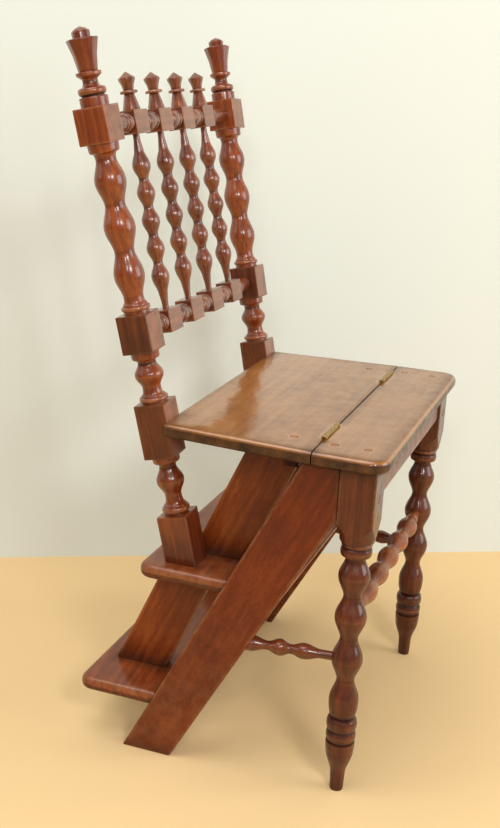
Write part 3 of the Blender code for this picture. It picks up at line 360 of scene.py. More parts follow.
# French polish on mahogany: many thin rubbed coats of shellac. The eye gets a
# deep red-brown with dark pores along the grain, soft flame in the figure,
# clear reflections with a slight waviness, and old wax in the hollows.
def polished_mahogany(
    name, wood_tones, finishes, centre, turn,
    coat=0.80, roughness=0.34, band=0.010, flame=0.06, spread=0.21,
    coat_roughness=0.19, pore=0.22, sheen=0.24,
):
    """French-polished mahogany whose grain runs along the piece's own length."""
    light, mid, dark = wood_tones
    material, tree, place = new_material(name, mid)
    board = add_node(
        tree, "Mapping", {"vector_type": "TEXTURE", "Location": centre, "Rotation": turn},
        {"Vector": place},
    )
    along, pores_along = (
        add_node(tree, "Mapping", {"Scale": (1.0, 1.0, stretch)}, {"Vector": board})
        for stretch in (0.045, 0.030)
    )
    # Growth layers 10 to 16 mm apart, cut by the turning into ovals
    layers = add_node(
        tree, "TexWave",
        {
            "wave_type": "BANDS", "bands_direction": "X", "Scale": math.pi / 10 / band,
            "Distortion": 3.5, "Detail": 3.0, "Detail Scale": 1.2, "Detail Roughness": 0.55,
        },
        {"Vector": along},
    )
    # Ribbon figure about 7 mm wide, patches of tone about 70 mm across, pores, rubbed
    # spots of 18 mm and ripples of 22 mm in the polish. Real pores are 0.2 mm wide;
    # these are 1.1 mm so that the render shows them.
    figure, patches, pores, rubbed, ripple = (
        add_node(
            tree, "TexNoise",
            {"Scale": 1 / width, "Detail": detail, "Roughness": rough, "Distortion": bend},
            {"Vector": source},
        )
        for width, detail, rough, bend, source in (
            (0.007, 5.0, 0.60, 0.3, along),
            (0.07, 2.0, 0.50, 0.0, board),
            (0.0011, 2.0, 0.70, 0.0, pores_along),
            (0.018, 4.0, 0.65, 0.0, place),
            (0.022, 2.0, 0.45, 0.0, board),
        )
    )
    grain = add_node(
        tree, "Mix", {"data_type": "FLOAT", 0: flame}, {2: figure, 3: layers.outputs["Fac"]}
    )
    tone = add_node(tree, "Mix", {"data_type": "FLOAT", 0: 0.42}, {2: grain, 3: patches})
    wood = add_node(
        tree, "ValToRGB",
        {"stops": [(0.49 - spread, dark), (0.49, mid), (0.50 + spread * 1.2, light)]},
        {"Fac": tone},
    )
    pore_shade = add_node(
        tree, "ValToRGB", {"stops": [(0.34, (0.52,) * 3), (0.50, (1.0,) * 3)]}, {"Fac": pores}
    )
    with_pores = add_node(
        tree, "Mix", {"data_type": "RGBA", "blend_type": "MULTIPLY", 0: 3.6 * pore},
        {6: wood, 7: pore_shade},
    )
    # Two painted layers: rubbing with painted highlights, and old wax with painted shade
    worn, hollow = (
        add_node(tree, "Attribute", {"attribute_name": name}).outputs["Fac"]
        for name in ("wear", "grime")
    )
    rubbed_share, grime_and_shade_share, dullness = (
        add_node(
            tree, "MapRange",
            {"From Min": least, "From Max": most, "To Min": low, "To Max": high},
            {"Value": rubbed},
        )
        for least, most, low, high in (
            (0.36, 0.64, 0.04, 0.40),
            (0.30, 0.70, 0.70, 1.0),
            (0.35, 0.70, roughness - 0.05, roughness + 0.10),
        )
    )
    wear_and_highlight_share = add_node(tree, "Math", {"operation": "MULTIPLY"}, {0: worn, 1: rubbed_share})
    dirt_and_shade = add_node(
        tree, "Math", {"operation": "MULTIPLY", "use_clamp": True}, {0: hollow, 1: grime_and_shade_share}
    )
    with_wear_and_highlight = add_node(
        tree, "Mix", {"data_type": "RGBA", 7: (*finishes.worn, 1.0)},
        {0: wear_and_highlight_share, 6: with_pores},
    )
    with_dirt_and_shade = add_node(
        tree, "Mix", {"data_type": "RGBA", 7: (*finishes.grime, 1.0)}, {0: dirt_and_shade, 6: with_wear_and_highlight}
    )
    dull_dirt_and_shade = add_node(
        tree, "Math", {"operation": "MULTIPLY_ADD", 1: 0.22}, {0: dirt_and_shade, 2: dullness}
    )
    # Dirt and painted shade take away most of the polish's clear top
    dull_coat = add_node(
        tree, "Math", {"operation": "MULTIPLY_ADD", 1: -0.75 * coat, 2: coat}, {0: dirt_and_shade}
    )
    wavy = add_node(tree, "Bump", {"Strength": 0.22, "Distance": 0.0016}, {"Height": ripple})
    open_grain = add_node(
        tree, "Bump", {"Strength": pore, "Distance": 0.0004}, {"Height": pores, "Normal": wavy}
    )
    shader = add_node(
        tree, "BsdfPrincipled",
        {
            "IOR": 1.5, "Specular IOR Level": sheen,
            "Coat Roughness": coat_roughness, "Coat IOR": 1.5,
        },
        {
            "Base Color": with_dirt_and_shade, "Roughness": dull_dirt_and_shade, "Coat Weight": dull_coat,
            "Normal": open_grain, "Coat Normal": wavy,
        },
    )
    add_node(tree, "OutputMaterial", {}, {"Surface": shader})
    return material


def mahogany(finishes, piece, kind, centre, turn, **looks):
    """French-polished mahogany for one piece, in the tones of one kind."""
    name = "French-polished mahogany, " + piece
    return polished_mahogany(name, tones(finishes, kind), finishes, centre, turn, **looks)


# Bare sawn beech left unpolished under the seat: dry, pale brown and matt, with
# rough fibres along the grain and darker patches of age.
def bare_wood(name, colour, grime):
    """Unpolished sawn wood of the blocks that don't show."""
    material, tree, place = new_material(name, colour)
    along = add_node(tree, "Mapping", {"Scale": (1.0, 0.06, 1.0)}, {"Vector": place})
    # Fibres about 1.5 mm apart, in patches about 40 mm across
    fibres = add_node(
        tree, "TexNoise", {"Scale": 1 / 0.0015, "Detail": 4.0, "Roughness": 0.6},
        {"Vector": along},
    )
    patches = add_node(tree, "TexNoise", {"Scale": 1 / 0.04, "Detail": 2.0}, {"Vector": place})
    mixed = add_node(tree, "Mix", {"data_type": "FLOAT", 0: 0.5}, {2: fibres, 3: patches})
    dark = tuple(value * 0.45 + dirt_and_shade * 0.3 for value, dirt_and_shade in zip(colour, grime))
    wood = add_node(tree, "ValToRGB", {"stops": [(0.30, dark), (0.62, colour)]}, {"Fac": mixed})
    dry = add_node(tree, "MapRange", {"To Min": 0.62, "To Max": 0.85}, {"Value": patches})
    bump = add_node(tree, "Bump", {"Strength": 0.5, "Distance": 0.0006}, {"Height": fibres})
    links = {"Base Color": wood, "Roughness": dry, "Normal": bump}
    shader = add_node(tree, "BsdfPrincipled", {}, links)
    add_node(tree, "OutputMaterial", {}, {"Surface": shader})
    return material


# Cast and drawn brass, worn by hand and dulled by age: a warm yellow metal,
# brighter where it rubs and brown where it doesn't.
def worn_brass(name, colour, grime):
    """Old brass of the hinges."""
    material, tree, place = new_material(name, colour)
    drawn = add_node(tree, "Mapping", {"Scale": (1.0, 0.05, 1.0)}, {"Vector": place})
    # Tarnish in patches about 4 mm across, and scratches about 0.5 mm apart
    tarnish = add_node(
        tree, "TexNoise", {"Scale": 1 / 0.004, "Detail": 4.0, "Roughness": 0.6},
        {"Vector": place},
    )
    scratches = add_node(tree, "TexNoise", {"Scale": 1 / 0.0005, "Detail": 2.0}, {"Vector": drawn})
    dull = tuple(value * 0.42 + dirt_and_shade * 0.5 for value, dirt_and_shade in zip(colour, grime))
    metal = add_node(
        tree, "ValToRGB", {"stops": [(0.36, dull), (0.60, colour)]}, {"Fac": tarnish}
    )
    gloss = add_node(
        tree, "MapRange", {"From Min": 0.3, "From Max": 0.7, "To Min": 0.52, "To Max": 0.28},
        {"Value": tarnish},
    )
    bump = add_node(tree, "Bump", {"Strength": 0.3, "Distance": 0.0002}, {"Height": scratches})
    links = {"Base Color": metal, "Roughness": gloss, "Normal": bump}
    shader = add_node(tree, "BsdfPrincipled", {"Metallic": 1.0}, links)
    add_node(tree, "OutputMaterial", {}, {"Surface": shader})
    return material


# Matt painted floor and backdrop: plain, pale and even. The back of the backdrop is
# left clear, so that the chair can be looked at from behind.
def matt_paint(name, colour, clear_back=False):
    """Plain matt paint for the floor and the backdrop."""
    material, tree, _ = new_material(name, colour)
    surface = add_node(tree, "BsdfPrincipled", {"Base Color": (*colour, 1.0), "Roughness": 0.9})
    if clear_back:
        back = add_node(tree, "NewGeometry").outputs["Backfacing"]
        clear = add_node(tree, "BsdfTransparent")
        surface = add_node(tree, "MixShader", {}, {0: back, 1: surface, 2: clear})
    add_node(tree, "OutputMaterial", {}, {"Surface": surface})
    return material


# Meshes
def start_mesh():
    """A bmesh whose points carry two painted layers: rubbing with painted highlights, and old wax
    with painted shade.
    """
    bm = bmesh.new()
    bm.verts.layers.float.new("grime")
    bm.verts.layers.float.new("wear")
    return bm


def lay(bm, name, shade):
    """Set a layer to what a function of a point gives."""
    layer = bm.verts.layers.float[name]
    for vert in bm.verts:
        vert[layer] = shade(vert.co)


def paint(bm, name, shade):
    """Add to a layer what a function of a point gives, between 0 and 1."""
    layer = bm.verts.layers.float[name]
    for vert in bm.verts:
        vert[layer] = min(1.0, max(0.0, vert[layer] + shade(vert.co)))


def fade(distance, reach):
    """One at a distance of zero, falling smoothly to nothing at the reach."""
    share = min(1.0, max(0.0, 1 - distance / reach))
    return share * share * (3 - 2 * share)


def rows_to_line(rows, start, length, radius, fullness):
    """Turn rows of shares into places and radii along a turning.

    A wave is half a bobbin, a bead swells out and back, and a round and a hollow
    are the quarter curves of a moulding.
    """
    wave_steps, bead_steps, curve_steps = 10, 8, 6
    line = []
    for kind, place_share, radius_share, *belly in rows:
        place = start + place_share * length
        size = radius_share * radius
        if kind == "line" or not line:
            line.append((place, size))
            continue
        last_place, last_size = line[-1]
        run = place - last_place
        rise = size - last_size
        if kind == "wave":
            for step in range(1, wave_steps + 1):
                part = step / wave_steps
                reach = part if rise > 0 else 1 - part
                swell = (1 - math.cos(math.pi * reach**fullness)) / 2
                line.append((last_place + run * part, min(size, last_size) + abs(rise) * swell))
        elif kind == "bead":
            bulge = belly[0] * radius - size
            for step in range(bead_steps + 1):
                angle = math.pi * step / bead_steps
                along = (1 - math.cos(angle)) / 2
                line.append((last_place + run * along, size + bulge * math.sin(angle)))
        else:
            for step in range(1, curve_steps + 1):
                angle = math.pi / 2 * step / curve_steps
                along, out = 1 - math.cos(angle), math.sin(angle)
                if (kind == "round") != (rise > 0):
                    along, out = out, along
                line.append((last_place + run * along, last_size + rise * out))
    return line


def longer(line, low, high):
    """A turned line with both its ends moved on, to sink into what it joins."""
    return [(low, line[0][1])] + line + [(high, line[-1][1])]


def relief(line, index, reach=0.006, full=0.0022):
    """How deep a point of a turned line lies below both its sides and how far it
    stands above them, each from 0 to 1."""
    place, size = line[index]
    before = [other for at, other in line[:index] if place - at < reach]
    after = [other for at, other in line[index + 1 :] if at - place < reach]
    if not before or not after:
        return 0.0, 0.0
    below = min(max(before), max(after)) - size
    above = size - max(min(before), min(after))
    return tuple(min(1.0, max(0.0, height / full)) for height in (below, above))


def turned(line, sides, start=0.0):
    """Turn a line about Z into a closed round body, dark in its hollows."""
    bm = start_mesh()
    grime = bm.verts.layers.float["grime"]
    wear = bm.verts.layers.float["wear"]
    points = [(line[0][0], 0.0)] + list(line) + [(line[-1][0], 0.0)]
    if line[-1][1] == 0.0:
        points.pop()
    made = []
    for index, (place, size) in enumerate(points):
        vert = bm.verts.new((size * math.cos(start), size * math.sin(start), place))
        vert[grime], vert[wear] = relief(points, index)
        made.append(vert)
    edges = [bm.edges.new(pair) for pair in zip(made, made[1:])]
    bmesh.ops.spin(
        bm, geom=made + edges, cent=(0.0, 0.0, 0.0), axis=(0.0, 0.0, 1.0), dvec=(0.0, 0.0, 0.0),
        angle=2 * math.pi, steps=sides, use_merge=True, use_duplicate=False,
    )
    bmesh.ops.remove_doubles(bm, verts=bm.verts, dist=1e-6)
    return bm


def faceted(line, softening):
    """An eight-sided body with its flats to the front and the sides."""
    bm = turned(line, facets, half_facet)
    corners = [
        edge
        for edge in bm.edges
        if len(edge.link_faces) == 2 and edge.calc_face_angle() > math.radians(25)
    ]
    soften_edges(bm, corners, softening)
    return bm


def add_mesh(target, source):
    """Move one bmesh into another."""
    mesh = bpy.data.meshes.new("carrier")
    source.to_mesh(mesh)
    source.free()
    target.from_mesh(mesh)
    bpy.data.meshes.remove(mesh)


def cut_grid(bm, steps):
    """Cut a mesh into a grid, given pairs of an axis and a spacing."""
    for axis, step in steps:
        low = min(vert.co[axis] for vert in bm.verts)
        high = max(vert.co[axis] for vert in bm.verts)
        normal = Vector((0.0, 0.0, 0.0))
        normal[axis] = 1.0
        count = int((high - low) / step)
        for index in range(1, count):
            everything = bm.verts[:] + bm.edges[:] + bm.faces[:]
            point = normal * (low + (high - low) * index / count)
            bmesh.ops.bisect_plane(bm, geom=everything, plane_co=point, plane_no=normal)


def wear_and_grid(bm, band, spacing):
    """Mark the arrises as rubbed pale, inset the broad faces and cut them into a grid."""
    lay(bm, "wear", lambda co: 1.0)
    broad = [
        face for face in bm.faces if min(edge.calc_length() for edge in face.edges) > 3 * band
    ]
    bmesh.ops.inset_individual(bm, faces=broad, thickness=band, use_even_offset=True)
    wear = bm.verts.layers.float["wear"]
    for face in broad:
        for vert in face.verts:
            vert[wear] = 0.0
    if spacing:
        cut_grid(bm, [(axis, spacing) for axis in range(3)])


def soften_edges(bm, edges, width, segments=2):
    """Round chosen edges."""
    bmesh.ops.bevel(
        bm, geom=edges, offset=width, offset_type="OFFSET", segments=segments, profile=0.5,
        affect="EDGES", material=-1, clamp_overlap=True,
    )


def edge_drop(edge):
    """How far the ends of an edge differ in height."""
    return abs(edge.verts[0].co.z - edge.verts[1].co.z)


def round_board(bm, thickness, corner, rounding, is_corner):
    """Round the upright corners of a board, then all its flat edges."""
    upright = [
        edge
        for edge in bm.edges
        if edge_drop(edge) > thickness / 2 and is_corner(edge.verts[0].co.x)
    ]
    soften_edges(bm, upright, corner, 8)
    soften_edges(bm, [edge for edge in bm.edges if edge_drop(edge) < 1e-6], rounding, 7)


def block(low, high, arris, band=0.0022, spacing=0.0):
    """A squared block between two corners, its arrises softened by rubbing."""
    bm = start_mesh()
    bmesh.ops.create_cube(bm, size=1.0)
    bmesh.ops.scale(bm, vec=Vector(high) - Vector(low), verts=bm.verts)
    bmesh.ops.translate(bm, vec=(Vector(high) + Vector(low)) / 2, verts=bm.verts)
    soften_edges(bm, list(bm.edges), arris)
    wear_and_grid(bm, band, spacing)
    return bm


def plain_block(low, high, arris=0.0001):
    """A block with no worn band, for small parts and for cutting."""
    return block(low, high, arris, band=1.0)


def push_outline(points, sweep):
    """A flat outline pushed along a sweep into a prism."""
    bm = start_mesh()
    face = bm.faces.new([bm.verts.new(point) for point in points])
    pushed = bmesh.ops.extrude_face_region(bm, geom=[face])
    moved = [item for item in pushed["geom"] if isinstance(item, bmesh.types.BMVert)]
    bmesh.ops.translate(bm, vec=sweep, verts=moved)
    bmesh.ops.recalc_face_normals(bm, faces=bm.faces)
    return bm


def sawn_board(outline, start, end, arris, spacing):
    """A board with this outline from the side, from one place across to another."""
    bm = push_outline([(x, start, z) for x, z in outline], (0.0, end - start, 0.0))
    soften_edges(bm, list(bm.edges), arris, 3)
    wear_and_grid(bm, 0.003, spacing)
    return bm


def saw(bm, point, normal):
    """Saw off what lies beyond a plane and close the sawn face."""
    everything = bm.verts[:] + bm.edges[:] + bm.faces[:]
    bmesh.ops.bisect_plane(
        bm, geom=everything, plane_co=point, plane_no=normal, clear_outer=True
    )
    bmesh.ops.holes_fill(bm, edges=[edge for edge in bm.edges if edge.is_boundary], sides=0)


def place_mesh(bm, location, turn):
    """Turn a mesh and move it to its place."""
    matrix = Matrix.Translation(location) @ Euler(turn).to_matrix().to_4x4()
    bmesh.ops.transform(bm, matrix=matrix, verts=bm.verts)


def to_record(point):
    """A point of the chair frame, whose x is zero on the hinge line, in the record's frame."""
    return Vector((point[0] + hinge_x, point[1], point[2]))


def back_point(up, across):
    """A point of the raked back, up the back from the seat and across."""
    rear = -post_reach - up * math.sin(post_rake)
    return to_record((rear, across, seat_height + up * math.cos(post_rake)))


# Pieces
def new_object(name, bm):
    """An object at the origin that holds a bmesh's mesh."""
    mesh = bpy.data.meshes.new(name)
    bm.to_mesh(mesh)
    bm.free()
    obj = bpy.data.objects.new(name, mesh)
    bpy.context.scene.collection.objects.link(obj)
    return obj


def smooth(mesh, angle):
    """Shade a mesh smooth, but for its corners past an angle in degrees."""
    mesh.shade_smooth()
    mesh.set_sharp_from_angle(angle=math.radians(angle))


def add_piece(way, node, bm, material, body, angle=32.0, name=None):
    """Make the finished object, hide the node it stands for and let it ride.

    It is named for the way it is made and for its node, unless a name is given.
    """
    if node not in frame["nodes"]:
        raise RuntimeError("The packed frame has no node named " + node)
    bmesh.ops.recalc_face_normals(bm, faces=bm.faces)
    obj = new_object(name or "%s_%s" % (way, node), bm)
    obj.data.materials.append(material)
    smooth(obj.data, angle)
    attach(obj, body)
    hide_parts(node)
    return obj


def carve(obj, cutters, angle, operation="DIFFERENCE"):
    """Cut shapes out of a piece, or keep only what lies inside them."""
    helpers = []
    for index, bm in enumerate(cutters):
        bmesh.ops.recalc_face_normals(bm, faces=bm.faces)
        helpers.append(new_object("cutter_%d" % index, bm))
        modifier = obj.modifiers.new("Cut", "BOOLEAN")
        modifier.operation = operation
        modifier.solver = "EXACT"
        modifier.object = helpers[-1]
    graph = bpy.context.evaluated_depsgraph_get()
    graph.update()
    cut_mesh = bpy.data.meshes.new_from_object(obj.evaluated_get(graph))
    if not cut_mesh.polygons:
        raise RuntimeError("Nothing is left of %s after the cuts" % obj.name)
    old = obj.data
    obj.modifiers.clear()
    obj.data = cut_mesh
    cut_mesh.name = old.name
    bpy.data.meshes.remove(old)
    for helper in helpers:
        mesh = helper.data
        bpy.data.objects.remove(helper)
        bpy.data.meshes.remove(mesh)
    smooth(obj.data, angle)


def round_cutter(mouth, inward, radius, overrun=0.004):
    """A cutter for a round hole, run past its mouth."""
    bm = start_mesh()
    mouth = Vector(mouth)
    inward = Vector(inward)
    start = mouth - inward.normalized() * overrun
    run = mouth + inward - start
    turn = run.to_track_quat("Z", "Y").to_matrix().to_4x4()
    bmesh.ops.create_cone(
        bm, cap_ends=True, segments=32, radius1=radius, radius2=radius, depth=run.length,
        matrix=Matrix.Translation(start + run / 2) @ turn,
    )
    return bm


def chair_settings(context):
    """The sizes and the finishes that the scene holds."""
    return context.scene.step_chair_sizes, context.scene.step_chair_finishes


class StepChairOperator:
    """What every operator of the chair shares."""

    bl_options = {"REGISTER", "UNDO"}


class STEPCHAIR_OT_back_posts(StepChairOperator, bpy.types.Operator):
    """Turn the two back posts, squared at the rails and eight-sided at the top"""

    bl_idname = "step_chair.back_posts"
    bl_label = "Back posts"

    def execute(self, context):
        """One post for each side: blocks, the turnings between them, a cup and its button."""
        sizes, finishes = chair_settings(context)
        for side, word in both_sides:
            turn = (-side * post_splay, -post_rake, 0.0)
            place = to_record((-post_reach, side * post_spread, seat_height))
            bm = self.blocks_and_turnings(sizes)
            add_mesh(bm, self.foot_block(sizes, turn))
            place_mesh(bm, place, turn)
            # Painted shade, with some wax, where the post stands on the middle tread and in front
            # round the seat's notch
            paint(
                bm,
                "grime",
                lambda co: 0.55 * fade(co.z - mid_high.z, 0.012)
                + 0.6 * fade(abs(co.z - seat_height + 0.009) - 0.008, 0.008) * (co.x > place.x),
            )
            wood = mahogany(finishes, "back post " + word, "turned", place, turn)
            add_piece("turned", "back_post_" + word, bm, wood, "folding_top")
        return {"FINISHED"}

    def blocks_and_turnings(self, sizes):
        """A post along Z, but for the block at its foot."""
        half = sizes.post_side / 2
        sink = 0.002
        low_blocks = 0.2
        bm = start_mesh()
        for low, high in block_places:
            add_mesh(bm, block((-half, -half, low), (half, half, high), sizes.block_arris))
        # Backs and hands have rubbed the fronts of the squares. One side of each lower square
        # carries painted shade, and their arrises are left less pale
        paint(bm, "wear", lambda co: 0.9 * (co.x > half - 0.001))
        paint(bm, "grime", lambda co: 0.62 * (co.y < -half + 0.001) * (co.z < low_blocks))
        paint(bm, "wear", lambda co: -0.5 * (co.x < half - 0.001) * (co.z < low_blocks))
        for profile, low, high in (
            (post_foot_profile, foot_block_top, block_places[0][0]),
            (post_waist_profile, block_places[0][1], block_places[1][0]),
            (post_back_profile, block_places[1][1], block_places[2][0]),
        ):
            line = rows_to_line(profile, low, high - low, half, sizes.post_fullness)
            add_mesh(bm, turned(longer(line, low - sink, high + sink), sizes.turned_sides))
        low = block_places[2][1]
        line, cup = (
            rows_to_line(profile, low, post_tip - low, half, sizes.post_fullness)
            for profile in (post_finial_profile, post_cup_profile)
        )
        add_mesh(bm, turned([(low - sink, line[0][1])] + line, sizes.turned_sides))
        add_mesh(bm, faceted(cup, 0.0004))
        return bm

    def foot_block(self, sizes, turn):
        """The lowest block, sawn level where it stands on the middle tread."""
        half = sizes.post_side / 2
        bm = block((-half, -half, foot_block_end), (half, half, foot_block_top), sizes.block_arris)
        down = Euler(turn).to_matrix().inverted() @ Vector((0.0, 0.0, -1.0))
        saw(bm, down * (seat_height - mid_high.z - clearance), down)
        paint(bm, "wear", lambda co: -0.6)
        return bm


class STEPCHAIR_OT_front_legs(StepChairOperator, bpy.types.Operator):
    """Turn the two front legs and cut the rounded shoulders of their blocks"""

    bl_idname = "step_chair.front_legs"
    bl_label = "Front legs"

    def execute(self, context):
        """One leg for each side: the turning, the shouldered square and the plug's hole."""
        sizes, finishes = chair_settings(context)
        half = leg_block_side / 2
        corner = half * math.sqrt(2)
        low = leg_turned_height
        lip = 0.0015
        for side, word in both_sides:
            place = Vector((leg_reach, side * leg_spread, 0.0))
            # The legs' darker tones stand for painted shade
            wood = mahogany(
                finishes, "front leg " + word, "leg", place, (0.0, 0.0, 0.4 * side),
                coat=0.50, roughness=0.40, band=0.013, flame=0.14, coat_roughness=0.11,
            )
            line = rows_to_line(leg_profile, 0.0, low, half, sizes.leg_fullness)
            line.append((low + 0.002, line[-1][1]))
            square = block(
                (-half, -half, low), (half, half, support_height), sizes.block_arris,
                spacing=0.012,
            )
            leg = add_piece("turned", "front_leg_" + word, square, wood, "stand")
            # The square as far as the turner's shoulder reaches it
            shoulder = [(low - 0.001, half * 0.90), (low, half * 0.93), (low + lip, half * 0.97)]
            for part in (step / 8 for step in range(1, 9)):
                shoulder.append((
                    low + lip + (leg_shoulder_height - lip) * part,
                    half * 0.97 + (corner - half * 0.97) * part**1.9,
                ))
            shoulder.append((support_height + 0.01, corner * 1.2))
            carve(leg, [turned(shoulder, 96)], 32.0, "INTERSECT")
            mouth = (half, 0.0, support_height - leg_plug_drop)
            carve(leg, [round_cutter(mouth, (-0.004, 0.0, 0.0), sizes.plug_radius + 0.0002)], 32.0)
            whole = bmesh.new()
            whole.from_mesh(leg.data)
            add_mesh(whole, turned(line, sizes.turned_sides))
            place_mesh(whole, place, (0.0, 0.0, 0.0))
            # Painted shade under the seat at the top, and painted shade with some dust from the
            # floor at the foot
            paint(
                whole,
                "grime",
                lambda co: 0.5 * fade(support_height - co.z, 0.014) + 0.5 * fade(co.z, 0.014),
            )
            whole.to_mesh(leg.data)
            whole.free()
            smooth(leg.data, 32.0)
        return {"FINISHED"}


class STEPCHAIR_OT_stretchers(StepChairOperator, bpy.types.Operator):
    """Turn the bobbin stretcher between the legs and the two short side stretchers"""

    bl_idname = "step_chair.stretchers"
    bl_label = "Stretchers"

    def execute(self, context):
        """The front stretcher, then one short stretcher for each side."""
        sizes, finishes = chair_settings(context)
        self.make_front(sizes, finishes)
        for side, word in both_sides:
            self.make_side(sizes, finishes, side, word)
        return {"FINISHED"}

    def make_front(self, sizes, finishes):
        """Five bobbins between two tapered ends."""
        radius = sizes.stretcher_radius
        spacing, neck, end_share = 0.059, 0.62, 0.44
        surface = leg_spread - leg_block_side / 2
        end = surface + 0.006
        rows = [
            ("line", -end, end_share), ("line", -surface, end_share),
            ("wave", -2.5 * spacing, neck),
        ]
        for index in range(5):
            centre = (index - 2) * spacing
            rows += [("wave", centre, 1.0), ("wave", centre + spacing / 2, neck)]
        rows += [("wave", surface, end_share), ("line", end, end_share)]
        bm = turned(rows_to_line(rows, 0.0, 1.0, radius, sizes.leg_fullness), sizes.turned_sides)
        place = Vector((leg_reach, 0.0, front_stretcher_share * leg_turned_height))
        turn = (math.radians(-90), 0.0, 0.0)
        place_mesh(bm, place, turn)
        # Feet have rubbed the bobbins pale on top and in front
        paint(
            bm,
            "wear",
            lambda co: 1.1
            * max(0.0, min(1.0, ((co.x - place.x) * 0.75 + (co.z - place.z) * 0.66) / radius)),
        )
        wood = mahogany(finishes, "front stretcher", "turned", place, turn, coat=0.35)
        add_piece("turned", "front_stretcher", bm, wood, "stand")

    def make_side(self, sizes, finishes, side, word):
        """Two bobbins between a cone at the string and a thin end at the leg."""
        height = side_stretcher_share * leg_turned_height
        rise = height / string_throat_height
        edge = (string_foot_front + string_throat) * rise - string_foot_front
        start = to_record((edge, side * side_stretcher_spread, height))
        run = Vector((leg_reach, side * leg_spread, height)) - start
        length = run.length - leg_block_side / 2
        radius = sizes.side_stretcher_radius
        line = rows_to_line(side_stretcher_profile, 0.0, length, radius, sizes.post_fullness)
        bm = turned(longer(line, -radius, length + 0.006), sizes.turned_sides)
        turn = run.normalized().to_track_quat("Z", "Y")
        sawn = turn.inverted() @ Vector((-math.cos(throat_slope), 0.0, math.sin(throat_slope)))
        saw(bm, sawn * -clearance, sawn)
        angles = turn.to_euler()
        place_mesh(bm, start, angles)
        wood = mahogany(finishes, "side stretcher " + word, "spindle", start, angles)
        add_piece("turned", "side_stretcher_" + word, bm, wood, "stand")


class STEPCHAIR_OT_back_rails(StepChairOperator, bpy.types.Operator):
    """Make the crest rail and the lower rail, squared over the spindles and turned between"""

    bl_idname = "step_chair.back_rails"
    bl_label = "Back rails"

    def execute(self, context):
        """One rail at each height."""
        sizes, finishes = chair_settings(context)
        turn = (math.radians(-90), -post_rake, 0.0)
        half = rail_square_depth / 2
        half_width = rail_square_width / 2
        corner = Vector((half, rail_square_height / 2, half_width))
        gap = spindle_places[1] - spindle_places[0] - rail_square_width
        sink = 0.001
        for node, along in zip(("lower_back_rail", "crest_rail"), rail_ups):
            bm = start_mesh()
            for place in spindle_places:
                middle = Vector((0.0, 0.0, place))
                square = block(
                    middle - corner, middle + corner, sizes.block_arris * 0.7, band=0.0016
                )
                add_mesh(bm, square)
            paint(bm, "wear", lambda co: 0.7 * (co.x > half - 0.001))
            for place in spindle_places[:-1]:
                start = place + half_width
                line = rows_to_line(rail_barrel_profile, start, gap, half, sizes.post_fullness)
                line = longer(line, start - sink, start + gap + sink)
                add_mesh(bm, turned(line, sizes.turned_sides))
            axis = post_spread + along * math.sin(post_splay)
            face = axis - sizes.post_side / 2 / math.cos(post_splay)
            length = face - spindle_places[-1] - half_width
            line = rows_to_line(rail_end_profile, 0.0, length, half, sizes.post_fullness)
            line = [(-sink, line[0][1])] + line
            line += [(line[-1][0], rail_end_radius), (length + 0.004, rail_end_radius)]
            for side, _ in both_sides:
                end = turned(line, sizes.turned_sides)
                if side < 0:
                    bmesh.ops.scale(end, vec=(1.0, 1.0, -1.0), verts=end.verts)
                    bmesh.ops.reverse_faces(end, faces=end.faces)
                shift = Vector((0.0, 0.0, side * (spindle_places[-1] + half_width)))
                bmesh.ops.translate(end, vec=shift, verts=end.verts)
                add_mesh(bm, end)
            place = back_point(along * math.cos(post_splay), 0.0)
            place_mesh(bm, place, turn)
            piece = node.replace("_", " ")
            wood = mahogany(finishes, piece, "spindle", place, turn, sheen=0.45)
            add_piece("turned", node, bm, wood, "folding_top")
        return {"FINISHED"}


class STEPCHAIR_OT_spindles(StepChairOperator, bpy.types.Operator):
    """Turn the four bobbin spindles and the four small finials over them"""

    bl_idname = "step_chair.spindles"
    bl_label = "Spindles and finials"

    def execute(self, context):
        """A spindle and its finial at each place."""
        sizes, finishes = chair_settings(context)
        turn = (0.0, -post_rake, 0.0)
        reach = rail_square_height / 2 + clearance
        sink = 0.003
        low_up, high_up = (up * math.cos(post_splay) for up in rail_ups)
        length = high_up - low_up - 2 * reach
        for number, across in enumerate(spindle_places, 1):
            place = back_point(low_up + reach, across)
            wood = mahogany(
                finishes, "spindle %d" % number, "spindle", place,
                (0.0, -post_rake, 0.9 * (number - 1)), sheen=0.45,
            )
            line = rows_to_line(
                spindle_profile, 0.0, length, sizes.spindle_radius, sizes.spindle_fullness
            )
            bm = turned(longer(line, -sink, length + sink), sizes.turned_sides * 2 // 3)
            place_mesh(bm, place, turn)
            add_piece("turned", "spindle_%d" % number, bm, wood, "folding_top")
            bm = start_mesh()
            base, cup, disc = (
                rows_to_line(
                    profile, 0.0, finial_height, sizes.finial_radius, sizes.spindle_fullness
                )
                for profile in (finial_base_profile, finial_cup_profile, finial_disc_profile)
            )
            for part in (faceted(base, 0.0003), faceted(cup, 0.0003), turned(disc, 32)):
                add_mesh(bm, part)
            place_mesh(bm, back_point(high_up + reach, across), turn)
            add_piece(
                "carved", "spindle_finial_%d" % number, bm, wood, "folding_top",
                name="carved_finial_%d" % number,
            )
        return {"FINISHED"}


